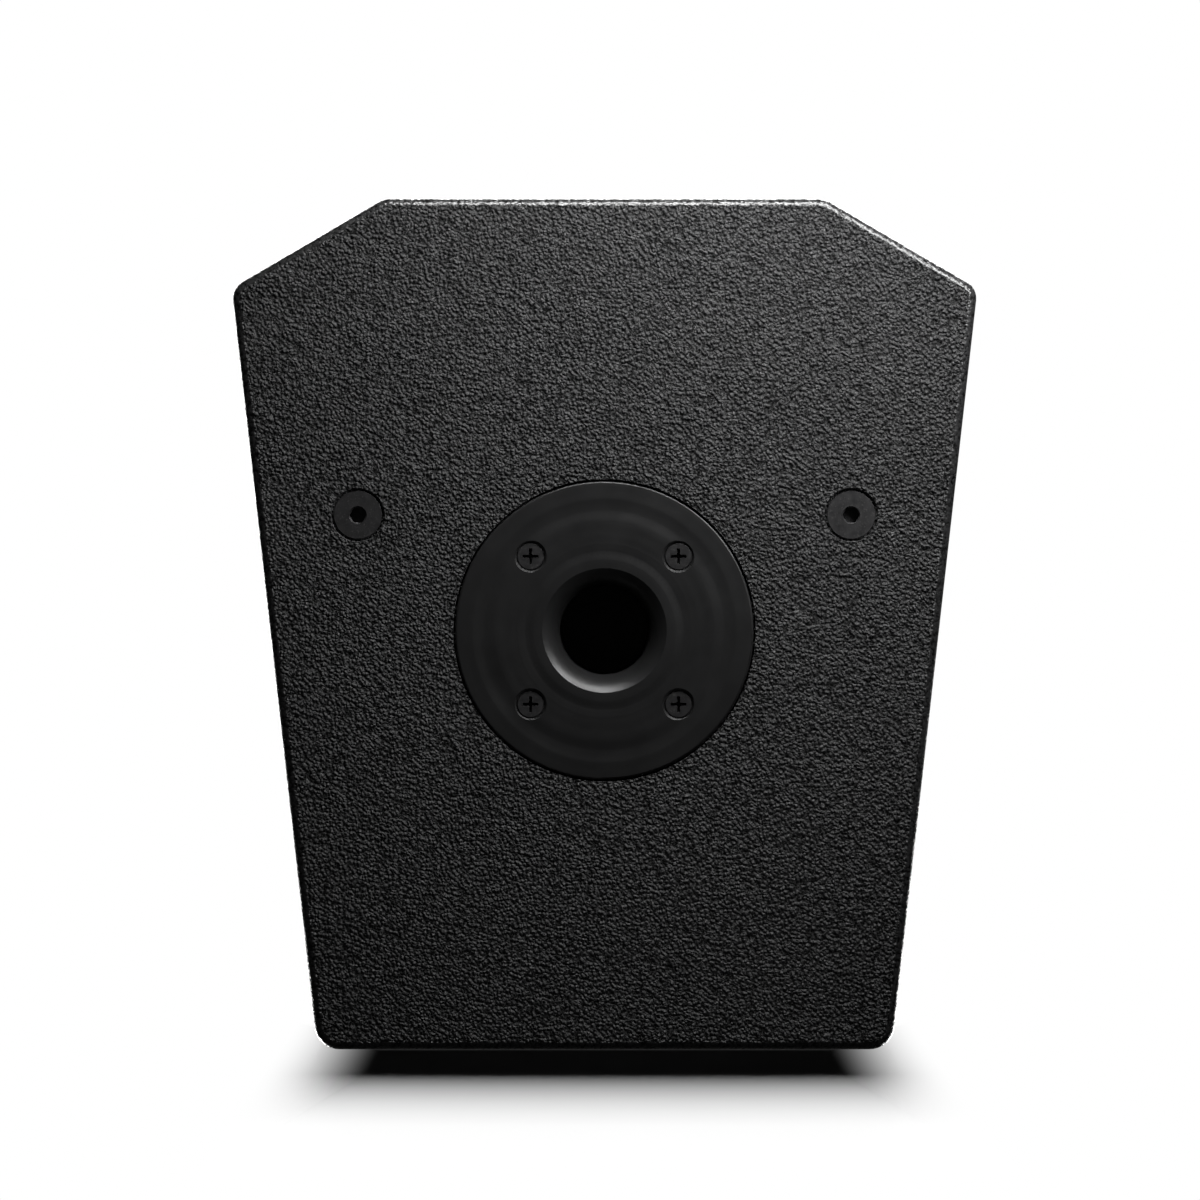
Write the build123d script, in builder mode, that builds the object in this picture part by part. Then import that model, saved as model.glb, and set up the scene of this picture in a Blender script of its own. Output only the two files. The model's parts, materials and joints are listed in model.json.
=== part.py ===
"""A two-way public-address loudspeaker cabinet: plywood box of trapezoidal plan, ten-inch woofer, horn and
compression driver, crossover, recessed handles, input dish, pole socket and blanked rigging points.

Millimetres. +Z is up, the grille faces -Y, and the origin is the centre of the underside.
"""

import math
import os

from build123d import *

os.makedirs("parts", exist_ok=True)

# --- Driving dimensions ----------------------------------------------------------------------------------
width = 300.0  # at the front corners, the widest place
rear_width = 231.0
depth = 342.0
height = 500.0
front_flat = 177.0  # width of the flat middle of the front
bevel_depth = 36.0  # how far the front corners lie behind that flat
wall = 15.0  # plywood
rabbet = 5.0  # how deep the upright panels sit in the top and bottom
edge_round, side_front_round = 4.0, 1.5
flat_corner_round, bevel_corner_round, rear_corner_round = 12.0, 8.0, 10.0
side_front_setback = 14.0  # from the front outline to the side panels' front ends
baffle_front = -118.0
joint_gap = 0.15  # between a fastener and its hole

woofer_z = 155.0
horn_z = 405.0
port_x, port_z = 88.0, 302.0
handle_y, handle_z = 48.0, 265.0
dish_z = 150.0
crossover_z = 335.0
socket_y = 2.6  # pole socket's centre
rig_x, rig_y = 99.0, -43.7
rear_rig_z = 455.0

# --- The plan's outline ----------------------------------------------------------------------------------
front_y, rear_y = -depth / 2, depth / 2
bevel_y = front_y + bevel_depth
side_tilt = math.atan2((width - rear_width) / 2, depth - bevel_depth)
bevel_tilt = math.atan2(bevel_depth, (width - front_flat) / 2)
side_out = Vector(math.cos(side_tilt), math.sin(side_tilt), 0)
side_along = Vector(-math.sin(side_tilt), math.cos(side_tilt), 0)
bevel_out = Vector(math.sin(bevel_tilt), -math.cos(bevel_tilt), 0)
bevel_along = Vector(math.cos(bevel_tilt), math.sin(bevel_tilt), 0)


def side_x(y, inset=0.0):
    """Half the cabinet's width at y, measured to a line that far inside the right side's outer face."""
    return width / 2 - inset / math.cos(side_tilt) - (y - bevel_y) * math.tan(side_tilt)


def bend(front):
    """Where the front's flat meets its right bevel, both moved in by this much."""
    shift = bevel_depth + front / math.cos(bevel_tilt) - front
    return width / 2 - shift / math.tan(bevel_tilt), front_y + front


def corner(front, side):
    """Where the right bevel, moved in by front, meets the right side, moved in by side."""
    across = side / math.cos(side_tilt) + front * math.tan(side_tilt) / math.cos(bevel_tilt)
    across /= 1 + math.tan(side_tilt) * math.tan(bevel_tilt)
    return width / 2 - across, bevel_y - across * math.tan(bevel_tilt) + front / math.cos(bevel_tilt)


def both_sides(points):
    """A closed outline from its right half, which runs from the front to the rear."""
    return [*points, *((-x, y) for x, y in reversed(points))]


# --- Small helpers ---------------------------------------------------------------------------------------
def polygon(points, plane=Plane.XY):
    with BuildSketch(plane) as face:
        with BuildLine():
            Polyline(*points, close=True)
        make_face()
    return face.sketch


def rounded(long, high, radius, plane):
    with BuildSketch(plane) as face:
        RectangleRounded(long, high, radius)
    return face.sketch


def dome(r, rise, base):
    """An arc, centred on the axis, from (r, base) to the axis at base + rise."""
    curve_r = (r * r + rise * rise) / (2 * abs(rise))
    half_turn = math.asin(r / curve_r) / 2
    drop = math.copysign(curve_r * (1 - math.cos(half_turn)), rise)
    ThreePointArc((r, base), (curve_r * math.sin(half_turn), base + rise - drop), (0, base + rise))


def ring_profile(inner, outer, start, end):
    """A rectangle of (radius, distance along the axis) corners."""
    return [(inner, start), (outer, start), (outer, end), (inner, end)]


def facing_rear(x, y, z):
    """A plane whose normal is +Y, with its x along +X."""
    return Plane((x, y, z), x_dir=(1, 0, 0), z_dir=(0, 1, 0))


def facing_front(x, y, z):
    return Plane((x, y, z), x_dir=(1, 0, 0), z_dir=(0, -1, 0))


def turned(profile, z, x=0.0):
    """Revolves (radius, y) corners about the front-to-back line at x, z."""
    with BuildPart() as body:
        revolve(polygon(profile, Plane((x, 0, z))), axis=Axis((x, 0, z), (0, 1, 0)))
    return body.part


def at(places, piece):
    """Copies of a piece at each place, as one part of separate solids."""
    with BuildPart() as copies:
        with Locations(*places):
            add(piece)
    return copies.part


def with_mirror(piece):
    """The right-hand piece and its left-hand image."""
    with BuildPart() as pair:
        add(piece)
        mirror(about=Plane.YZ)
    return pair.part


def keep(builder, name):
    builder.part.label = name
    export_step(builder.part, f"parts/{name}.step")


# --- Fasteners: head's top face at the origin, shank along -Z --------------------------------------------
def countersunk(head_r, shank_r, length, rim=0.8, edge=0.3):
    """Its head has an upright rim this high, with its top edge broken."""
    cone_end = -rim - head_r + shank_r
    outline = [
        (0, 0),
        (head_r - edge, 0),
        (head_r, -edge),
        (head_r, -rim),
        (shank_r, cone_end),
        (shank_r, -length),
        (0, -length),
    ]
    with BuildPart() as body:
        revolve(polygon(outline, Plane.XZ), axis=Axis.Z)
    return body.part


def screw_seat(head_r, shank_r, length, sink, rim=0.8, ring=0.8, lead=0.3):
    """The hole for a countersunk screw whose head lies sink below the face.

    A ring of room goes round the head, and its mouth widens by lead."""
    ring_r, seat_r, bore_r = head_r + ring, head_r + joint_gap, shank_r + joint_gap
    shelf = -sink - rim
    outline = [
        (0, 5),
        (ring_r + lead, 5),
        (ring_r + lead, 0),
        (ring_r, -lead),
        (ring_r, shelf),
        (seat_r, shelf),
        (bore_r, shelf - seat_r + bore_r),
        (bore_r, -length),
        (0, -length),
    ]
    with BuildPart() as body:
        revolve(polygon(outline, Plane.XZ), axis=Axis.Z)
    return body.part


def button(head_r, head_h, shank_r, length, gap=0.0):
    """A domed head on a flat face: the shank begins at the origin and the head stands on +Z."""
    with BuildPart() as body:
        with BuildSketch(Plane.XZ):
            with BuildLine():
                Line((0, 0), (head_r, 0))
                Line((head_r, 0), (head_r, head_h * 0.3))
                dome(head_r, head_h * 0.7, head_h * 0.3)
                Line((0, head_h), (0, 0))
            make_face()
        revolve(axis=Axis.Z)
        with BuildSketch():
            Circle(shank_r + gap)
        extrude(amount=-length - gap)
    return body.part


def hex_driven(screw, across_flats, deep, top=0.0):
    with BuildPart() as body:
        add(screw)
        with BuildSketch(Plane.XY.offset(top)):
            RegularPolygon(across_flats / 2, 6, major_radius=False)
        extrude(amount=-deep, mode=Mode.SUBTRACT)
        with BuildSketch(Plane.XY.offset(top)):
            Circle(across_flats / 2 + 0.6)
        extrude(amount=-0.6, taper=45, mode=Mode.SUBTRACT)
    return body.part


def cross_driven(screw, span, slot, deep, top=0.0):
    with BuildPart() as body:
        add(screw)
        with BuildSketch(Plane.XY.offset(top)):
            Rectangle(span, slot)
            Rectangle(slot, span)
            Circle(slot * 0.9)
        extrude(amount=-deep, taper=12, mode=Mode.SUBTRACT)
    return body.part


def cylinder_hole(radius, length):
    """The hole for a plain shank: it starts a little above the face."""
    with BuildPart() as body:
        with BuildSketch(Plane.XY.offset(1)):
            Circle(radius)
        extrude(amount=-length - 1)
    return body.part


def tee_nut(bore_r, flange_r, barrel):
    """The wood's face is at the origin: the barrel goes into it along -Z and the flange lies on +Z."""
    outline = [
        (bore_r, 1.5),
        (flange_r, 1.5),
        (flange_r, 0),
        (tee_barrel_r, 0),
        (tee_barrel_r, -barrel),
        (bore_r, -barrel),
    ]
    with BuildPart() as body:
        revolve(polygon(outline, Plane.XZ), axis=Axis.Z)
    return body.part


# --- Where the fasteners go ------------------------------------------------------------------------------
woofer_bolt_r, woofer_bolts = 121.5, 8
woofer_bolt_angles = [360 / woofer_bolts * (i + 0.5) for i in range(woofer_bolts)]


def round_woofer(y, normal):
    """Places on the woofer's bolt circle, at this y."""
    make = facing_rear if normal == "rear" else facing_front
    return [
        make(
            woofer_bolt_r * math.cos(math.radians(a)),
            y,
            woofer_z + woofer_bolt_r * math.sin(math.radians(a)),
        )
        for a in woofer_bolt_angles
    ]


horn_flange, horn_flange_t, horn_seal_t, horn_screw_length = (236.0, 136.0), 4.0, 1.0, 18.0
horn_bolt_places = [
    facing_front(x, baffle_front - horn_seal_t - horn_flange_t, horn_z + z)
    for x, z in [(-111, -59), (0, -62.5), (111, -59), (-111, 59), (0, 62.5), (111, 59)]
]
handle_plane = Plane((side_x(handle_y), handle_y, handle_z), x_dir=side_along, z_dir=side_out)
handle_flange, handle_tub = (172.0, 120.0), (146.0, 94.0)
handle_flange_t, handle_depth, handle_wall, handle_tub_round = 2.2, 56.0, 3.0, 18.0
handle_screw_r = 2.0
handle_screw_places = [
    handle_plane * Location((x, z, handle_flange_t)) for x in (-78, 0, 78) for z in (-53.5, 53.5)
]
dish_plane = Plane((0, rear_y, dish_z), x_dir=(-1, 0, 0), z_dir=(0, 1, 0))
dish_flange, dish_tub = (150.0, 116.0), (126.0, 92.0)
dish_flange_t, dish_depth, dish_wall, dish_tub_round = 2.5, 36.0, 3.0, 8.0
cut_room = 1.0  # how much larger than a tub or its flange the hole for it is
dish_screw_length, flange_round = 14.0, 10.0
dish_screw_places = [
    dish_plane * Location((x, z, 0)) for x in (-68.5, 0, 68.5) for z in (-52, 52)
]
pole_flange_r, pole_flange_t, pole_face_z, pole_bore_r = 60.0, 5.0, 0.4, 18.0
pole_cup_r, pole_cup_top, pole_bore_top = 22.0, 84.0, 80.0
pole_mouth_r, pole_lip_turn = 25.0, math.radians(60)  # the bore flares out to the mouth through this turn
pole_flange_room = 0.7  # the dark ring round the flange
pole_screw_offset = 29.7
pole_screw_sink = 0.8
pole_screw_places = [
    Plane((x, socket_y + y, pole_face_z + pole_screw_sink), x_dir=(1, 0, 0), z_dir=(0, 0, -1))
    for x in (-pole_screw_offset, pole_screw_offset)
    for y in (-pole_screw_offset, pole_screw_offset)
]
tee_barrel_r = 4.0
board_t, standoff, board_w, board_h = 1.6, 8.0, 150.0, 100.0
board_screw_r, board_screw_bite = 1.6, 12.0
board_front = rear_y - wall - standoff - board_t
crossover_screw_places = [
    facing_front(x, board_front, crossover_z + z) for x in (-68, 68) for z in (-43, 43)
]
rig_sink = 0.6
rig_bottom_places = [
    Plane((x, rig_y, rig_sink), x_dir=(1, 0, 0), z_dir=(0, 0, -1)) for x in (-rig_x, rig_x)
]
rig_top_places = [Plane((x, rig_y, height - rig_sink), z_dir=(0, 0, 1)) for x in (-rig_x, rig_x)]
rig_rear_place = facing_rear(0, rear_y - rig_sink, rear_rig_z)
rig_head_r, rig_shank_r, rig_length = 9.8, 5.0, 27.0


def rigging_hole():
    return screw_seat(rig_head_r, rig_shank_r, wall, rig_sink)


# --- Cabinet panels --------------------------------------------------------------------------------------
with BuildPart() as right_side_panel:
    side_plan = [
        corner(side_front_setback, 0),
        (side_x(rear_y), rear_y),
        (side_x(rear_y, wall), rear_y),
        corner(side_front_setback, wall),
    ]
    extrude(polygon(side_plan, Plane.XY.offset(wall - rabbet)), amount=height - 2 * (wall - rabbet))
    upright = right_side_panel.edges().filter_by(Axis.Z)
    fillet(upright.sort_by_distance((side_x(rear_y), rear_y, height / 2))[0], rear_corner_round)
    upright = right_side_panel.edges().filter_by(Axis.Z)
    fillet(upright.sort_by_distance((*corner(side_front_setback, 0), height / 2))[0], side_front_round)
    cut_size = (handle_tub[0] + cut_room, handle_tub[1] + cut_room)
    extrude(rounded(*cut_size, handle_tub_round + 1, handle_plane), amount=-wall - 1, mode=Mode.SUBTRACT)
    with Locations(*handle_screw_places):
        add(cylinder_hole(handle_screw_r + joint_gap, handle_flange_t + 13.5), mode=Mode.SUBTRACT)

grille_screw_heights = [45.0, 180.0, 320.0, 455.0]
grille_seat_inset = 9.8  # of the screws, from the side's outer face
seat = Vector(*corner(side_front_setback, grille_seat_inset))
grille_setback, grille_sheet, grille_screw_bite, small_screw_r = 4.0, 1.5, 8.0, 1.75
grille_reach = side_front_setback - grille_setback


def grille_screw_planes(reach):
    """Planes on the right side panel's front end, moved out by reach, facing along the bevel."""
    origin = seat + bevel_out * reach
    return [Plane((origin.X, origin.Y, z), x_dir=bevel_along, z_dir=bevel_out) for z in grille_screw_heights]


with BuildPart() as drilled_right_side:
    add(right_side_panel.part)
    with Locations(*grille_screw_planes(0)):
        add(cylinder_hole(small_screw_r + joint_gap, grille_screw_bite + 0.5), mode=Mode.SUBTRACT)
keep(drilled_right_side, "right_side_panel")

with BuildPart() as left_side_panel:
    add(drilled_right_side.part)
    mirror(about=Plane.YZ, mode=Mode.REPLACE)
keep(left_side_panel, "left_side_panel")

with BuildPart() as rear_panel:
    rear_plan = both_sides([(side_x(y, wall), y) for y in (rear_y - wall, rear_y)])
    extrude(polygon(rear_plan, Plane.XY.offset(wall - rabbet)), amount=height - 2 * (wall - rabbet))
    dish_cut = rounded(dish_tub[0] + cut_room, dish_tub[1] + cut_room, dish_tub_round + 1, dish_plane)
    extrude(dish_cut, amount=-wall - 1, mode=Mode.SUBTRACT)
    dish_step = rounded(dish_flange[0] + cut_room, dish_flange[1] + cut_room, flange_round + 0.5, dish_plane)
    extrude(dish_step, amount=-dish_flange_t, mode=Mode.SUBTRACT)
    with Locations(*dish_screw_places):
        add(cylinder_hole(small_screw_r + joint_gap, dish_screw_length + 0.5), mode=Mode.SUBTRACT)
    with Locations(*crossover_screw_places):
        board_hole = cylinder_hole(board_screw_r + joint_gap, board_t + standoff + board_screw_bite + 0.5)
        add(board_hole, mode=Mode.SUBTRACT)
    with Locations(rig_rear_place * Location((0, 0, rig_sink))):
        add(rigging_hole(), mode=Mode.SUBTRACT)
keep(rear_panel, "rear_panel")

woofer_cut_r, horn_cut, horn_cut_round, port_cut_r = 114.5, (214.0, 116.0), 22.0, 24.5
with BuildPart() as front_baffle:
    baffle_rear = baffle_front + wall
    baffle_plan = both_sides([(side_x(y, wall), y) for y in (baffle_front, baffle_rear)])
    extrude(polygon(baffle_plan, Plane.XY.offset(wall - rabbet)), amount=height - 2 * (wall - rabbet))
    with Locations(facing_rear(0, baffle_front, woofer_z)):
        Cylinder(woofer_cut_r, 3 * wall, mode=Mode.SUBTRACT)
    with Locations(facing_rear(port_x, baffle_front, port_z), facing_rear(-port_x, baffle_front, port_z)):
        Cylinder(port_cut_r, 3 * wall, mode=Mode.SUBTRACT)
    horn_opening = rounded(*horn_cut, horn_cut_round, facing_rear(0, baffle_front - 1, horn_z))
    extrude(horn_opening, amount=wall + 2, mode=Mode.SUBTRACT)
    with Locations(*round_woofer(baffle_front, "front")):
        add(cylinder_hole(tee_barrel_r + joint_gap, wall), mode=Mode.SUBTRACT)
    with Locations(*horn_bolt_places):
        add(cylinder_hole(small_screw_r + joint_gap, horn_screw_length + 0.5), mode=Mode.SUBTRACT)
keep(front_baffle, "front_baffle")

with BuildPart() as baffle_battens:
    batten = 10.0
    batten_plan = [
        (side_x(baffle_rear, wall), baffle_rear),
        (side_x(baffle_rear + batten, wall), baffle_rear + batten),
        (side_x(baffle_rear + batten, wall) - batten, baffle_rear + batten),
        (side_x(baffle_rear + batten, wall) - batten, baffle_rear),
    ]
    extrude(polygon(batten_plan, Plane.XY.offset(wall)), amount=height - 2 * wall)
    mirror(about=Plane.YZ)
keep(baffle_battens, "baffle_battens")

upright_panels = [drilled_right_side, left_side_panel, rear_panel, front_baffle]


def end_blank(base, outer):
    """The top or bottom panel before it is bored: full outline, rounded edges, rabbets for the uprights."""
    with BuildPart() as blank:
        with BuildSketch(Plane.XY.offset(base)) as plan:
            add(polygon(both_sides([bend(0), corner(0, 0), (side_x(rear_y), rear_y)])))
            for radius, (x, y) in [
                (flat_corner_round, bend(0)),
                (bevel_corner_round, corner(0, 0)),
                (rear_corner_round, (side_x(rear_y), rear_y)),
            ]:
                for side in (-1, 1):
                    fillet(plan.vertices().sort_by_distance((side * x, y, 0))[0], radius)
        extrude(amount=wall)
        fillet(blank.faces().sort_by(Axis.Z)[outer].edges(), edge_round)
        for panel in upright_panels:
            add(panel.part, mode=Mode.SUBTRACT)
    return blank.part


with BuildPart() as bottom_panel:
    add(end_blank(0, 0))
    with BuildSketch(Plane((0, socket_y, 0))):
        Circle(pole_flange_r + pole_flange_room)
    extrude(amount=pole_face_z + pole_flange_t, mode=Mode.SUBTRACT)
    with BuildSketch(Plane((0, socket_y, 0))):
        Circle(pole_cup_r + cut_room)
    extrude(amount=wall, mode=Mode.SUBTRACT)
    with Locations(*pole_screw_places):
        add(cylinder_hole(tee_barrel_r + joint_gap, wall), mode=Mode.SUBTRACT)
    with Locations(*[place * Location((0, 0, rig_sink)) for place in rig_bottom_places]):
        add(rigging_hole(), mode=Mode.SUBTRACT)
keep(bottom_panel, "bottom_panel")

with BuildPart() as top_panel:
    add(end_blank(height - wall, -1))
    with Locations(*[place * Location((0, 0, rig_sink)) for place in rig_top_places]):
        add(rigging_hole(), mode=Mode.SUBTRACT)
keep(top_panel, "top_panel")

# --- Rigging points --------------------------------------------------------------------------------------
rig_hex, rig_hex_depth = 6.0, 4.2
rig_screw = hex_driven(countersunk(rig_head_r, rig_shank_r, rig_length), rig_hex, rig_hex_depth)

rig_places = [*rig_bottom_places, *rig_top_places, rig_rear_place]
with BuildPart() as rigging_screws:
    add(at(rig_places, rig_screw))
keep(rigging_screws, "rigging_screws")


def rigging_plate(wide=44.0, high=50.0, thick=3.0, nut_flats=17.0, nut_t=8.0):
    """Steel plate with a welded nut. The panel's inner face is at the origin, and the plate lies on -Z."""
    with BuildPart() as plate:
        with BuildSketch():
            RectangleRounded(wide, high, 5)
        extrude(amount=-thick)
        with BuildSketch(Plane.XY.offset(-thick)):
            RegularPolygon(nut_flats / 2, 6, major_radius=False)
        extrude(amount=-nut_t)
        with BuildSketch():
            Circle(rig_shank_r + joint_gap)
        extrude(amount=-thick - nut_t - 1, mode=Mode.SUBTRACT)
    return plate.part


with BuildPart() as rigging_plates:
    inner = Location((0, 0, rig_sink - wall))
    add(at([place * inner for place in rig_places], rigging_plate()))
keep(rigging_plates, "rigging_plates")

# --- Pole socket -----------------------------------------------------------------------------------------
pole_screw_head_r, pole_screw_shank_r, pole_screw_rim = 5.4, 3.0, 0.5
lip_r = (pole_mouth_r - pole_bore_r) / (1 - math.cos(pole_lip_turn))
lip_end_z = pole_face_z + lip_r * math.sin(pole_lip_turn)
pole_back_z = pole_face_z + pole_flange_t
flange_edge_r = 1.0
flange_waves = [(28.5, 35.0), (44.0, 53.0)]  # where each shallow wave in the flange begins and ends
wave_depth = 0.35


def lip_point(turn):
    """A point of the flared lip's section, this far round from the bore."""
    return pole_bore_r + lip_r * (1 - math.cos(turn)), lip_end_z - lip_r * math.sin(turn)


with BuildPart() as pole_socket:
    with BuildSketch(Plane.XZ.offset(-socket_y)):
        with BuildLine():
            Line((0, pole_bore_top), (pole_bore_r, pole_bore_top))
            Line((pole_bore_r, pole_bore_top), lip_point(0))
            ThreePointArc(lip_point(0), lip_point(pole_lip_turn / 2), lip_point(pole_lip_turn))
            reached = pole_mouth_r
            for start, end in flange_waves:
                Line((reached, pole_face_z), (start, pole_face_z))
                crest = ((start + end) / 2, pole_face_z + wave_depth)
                Spline((start, pole_face_z), crest, (end, pole_face_z), tangents=((1, 0), (1, 0)))
                reached = end
            Line((reached, pole_face_z), (pole_flange_r - flange_edge_r, pole_face_z))
            RadiusArc(
                (pole_flange_r - flange_edge_r, pole_face_z),
                (pole_flange_r, pole_face_z + flange_edge_r),
                -flange_edge_r,
            )
            Line((pole_flange_r, pole_face_z + flange_edge_r), (pole_flange_r, pole_back_z))
            Line((pole_flange_r, pole_back_z), (pole_cup_r, pole_back_z))
            Line((pole_cup_r, pole_back_z), (pole_cup_r, pole_cup_top))
            Line((pole_cup_r, pole_cup_top), (0, pole_cup_top))
            Line((0, pole_cup_top), (0, pole_bore_top))
        make_face()
    revolve(axis=Axis((0, socket_y, 0), (0, 0, 1)))
    with Locations(*[place * Location((0, 0, pole_screw_sink)) for place in pole_screw_places]):
        pole_screw_seat = screw_seat(
            pole_screw_head_r, pole_screw_shank_r, 8, pole_screw_sink, rim=pole_screw_rim, ring=0.35, lead=0.8
        )
        add(pole_screw_seat, mode=Mode.SUBTRACT)
keep(pole_socket, "pole_socket")

with BuildPart() as pole_socket_screws:
    pole_screw_blank = countersunk(pole_screw_head_r, pole_screw_shank_r, 18, rim=pole_screw_rim)
    add(at(pole_screw_places, cross_driven(pole_screw_blank, 6.4, 1.3, 2.6)))
keep(pole_socket_screws, "pole_socket_screws")

with BuildPart() as tee_nuts:
    nut_places = round_woofer(baffle_rear, "rear")
    nut_places += [Plane((place.origin.X, place.origin.Y, wall)) for place in pole_screw_places]
    add(at(nut_places, tee_nut(3.15, 7.5, 9.0)))
keep(tee_nuts, "tee_nuts")

# --- Grille ----------------------------------------------------------------------------------------------
grille_side_gap, grille_end_gap = 1.0, 0.5
lip_t, lip_reach = grille_sheet, 9.5


def pan_points(front, side, end):
    return [bend(front), corner(front, side), corner(end, side)]


with BuildPart() as grille:
    pan_end = side_front_setback - 0.3
    outer = pan_points(grille_setback, grille_side_gap, pan_end)
    inner = pan_points(grille_setback + grille_sheet, grille_side_gap + grille_sheet, pan_end)
    low, high = wall + grille_end_gap, height - wall - grille_end_gap
    with BuildSketch(Plane.XY.offset(low)) as pan_plan:
        add(polygon(both_sides(outer + inner[::-1])))
        for radius, (x, y) in [(3.0, outer[1]), (1.5, inner[1]), (4.0, outer[0]), (2.5, inner[0])]:
            for side in (-1, 1):
                fillet(pan_plan.vertices().sort_by_distance((side * x, y, 0))[0], radius)
    extrude(amount=high - low)
    lip_plan = both_sides(
        [
            bend(grille_setback + 1),
            corner(grille_setback + 1, grille_side_gap + 1),
            corner(grille_setback + lip_reach, grille_side_gap + 1),
            bend(grille_setback + lip_reach),
        ]
    )
    extrude(polygon(lip_plan, Plane.XY.offset(low)), amount=lip_t)
    extrude(polygon(lip_plan, Plane.XY.offset(high - lip_t)), amount=lip_t)
    with Locations(*grille_screw_planes(grille_reach)):
        add(cylinder_hole(small_screw_r + joint_gap, 2 * grille_sheet), mode=Mode.SUBTRACT)
    split(bisect_by=Plane.YZ)
    mirror(about=Plane.YZ)
keep(grille, "grille")

with BuildPart() as grille_screws:
    head_r, head_h = 3.4, 2.0
    grille_screw = button(head_r, head_h, small_screw_r, grille_reach + grille_screw_bite)
    add(with_mirror(at(grille_screw_planes(grille_reach), hex_driven(grille_screw, 2.0, 1.3, head_h))))
keep(grille_screws, "grille_screws")


def sleeve(outer_r, inner_r, length):
    """A tube from the origin along +Z."""
    with BuildPart() as body:
        with BuildSketch():
            Circle(outer_r)
            Circle(inner_r, mode=Mode.SUBTRACT)
        extrude(amount=length)
    return body.part


with BuildPart() as grille_spacers:
    spacer = sleeve(3.2, small_screw_r + joint_gap, grille_reach - grille_sheet)
    add(with_mirror(at(grille_screw_planes(0), spacer)))
keep(grille_spacers, "grille_spacers")

# --- Woofer, from the grille towards the rear -------------------------------------------------------------
gasket_t, frame_flange_t, ledge_drop = 2.0, 5.0, 3.0
woofer_r, frame_bore_r, ledge_r, rim_r, rim_t, spokes = 128.0, 107.0, 114.0, 113.5, 3.5, 8
woofer_screw_r, back_ring_r = 3.0, (34.0, 66.0)
frame_rear = baffle_front - gasket_t
frame_front = frame_rear - frame_flange_t
ledge_y = frame_front + ledge_drop
rim_end, basket_back = -98.0, -56.0
spider_seat_y, spider_seat_r = -72.2, (70.0, 80.0)
cone_r, cone_mouth_y, cone_neck_y = 98.5, -121.0, -79.6
former_r, coil_r, coil_ends, former_end = (25.3, 25.6), 26.3, (-59.0, -45.0), -84.0
top_plate_t, magnet_t, back_plate_t, motor_plate_r, magnet_r = 8.0, 16.0, 7.0, 65.0, 70.0
magnet_front = basket_back + top_plate_t
magnet_rear = magnet_front + magnet_t
motor_rear = magnet_rear + back_plate_t


def wall_of_cone(r):
    """Distance along the axis of the cone's front face at this radius."""
    along = (r - former_r[1]) / (cone_r - former_r[1])
    return cone_neck_y + (cone_mouth_y - cone_neck_y) * along


with BuildPart() as spoke:
    spoke_profile = [
        (rim_r - 1.5, rim_end - 8),
        (rim_r - 1.5, rim_end - 0.5),
        (64, basket_back - 0.5),
        (60, basket_back - 0.5),
        (60, basket_back - 5.5),
        (spider_seat_r[0] + 2, spider_seat_y + 5),
        (spider_seat_r[1] - 1, spider_seat_y + 0.5),
        (rim_r - 5, rim_end - 6),
    ]
    extrude(polygon(spoke_profile), amount=5, both=True)

with BuildPart() as woofer_frame:
    rim_profile = [
        (frame_bore_r, ledge_y),
        (ledge_r, ledge_y),
        (ledge_r, frame_front),
        (woofer_r, frame_front),
        (woofer_r, frame_rear),
        (rim_r, frame_rear),
        (rim_r, rim_end),
        (rim_r - rim_t, rim_end),
        (rim_r - rim_t, ledge_y + 3),
        (frame_bore_r, ledge_y + 3),
    ]
    add(turned(rim_profile, woofer_z))
    add(turned(ring_profile(*spider_seat_r, spider_seat_y, spider_seat_y + 6), woofer_z))
    add(turned(ring_profile(*back_ring_r, basket_back - 6, basket_back), woofer_z))
    with Locations(*[Location((0, 0, woofer_z), (0, 360 / spokes * i, 0)) for i in range(spokes)]):
        add(spoke.part)
    with Locations(*round_woofer(frame_front, "front")):
        add(cylinder_hole(woofer_screw_r + joint_gap, frame_flange_t + 1), mode=Mode.SUBTRACT)
    chamfer(woofer_frame.edges().filter_by(GeomType.CIRCLE).sort_by(SortBy.RADIUS)[-1], 1.5)
keep(woofer_frame, "woofer_frame")

with BuildPart() as woofer_gasket:
    add(turned(ring_profile(woofer_cut_r + 1, woofer_r - 1, frame_rear, baffle_front), woofer_z))
    with Locations(*round_woofer(frame_rear, "front")):
        add(cylinder_hole(woofer_screw_r + joint_gap, gasket_t + 1), mode=Mode.SUBTRACT)
keep(woofer_gasket, "woofer_gasket")

with BuildPart() as woofer_screws:
    head_r, head_h = 5.2, 3.2
    woofer_screw = button(head_r, head_h, woofer_screw_r, frame_flange_t + gasket_t + wall + 3)
    add(at(round_woofer(frame_front, "front"), hex_driven(woofer_screw, 4.0, 2.2, head_h)))
keep(woofer_screws, "woofer_screws")

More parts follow.
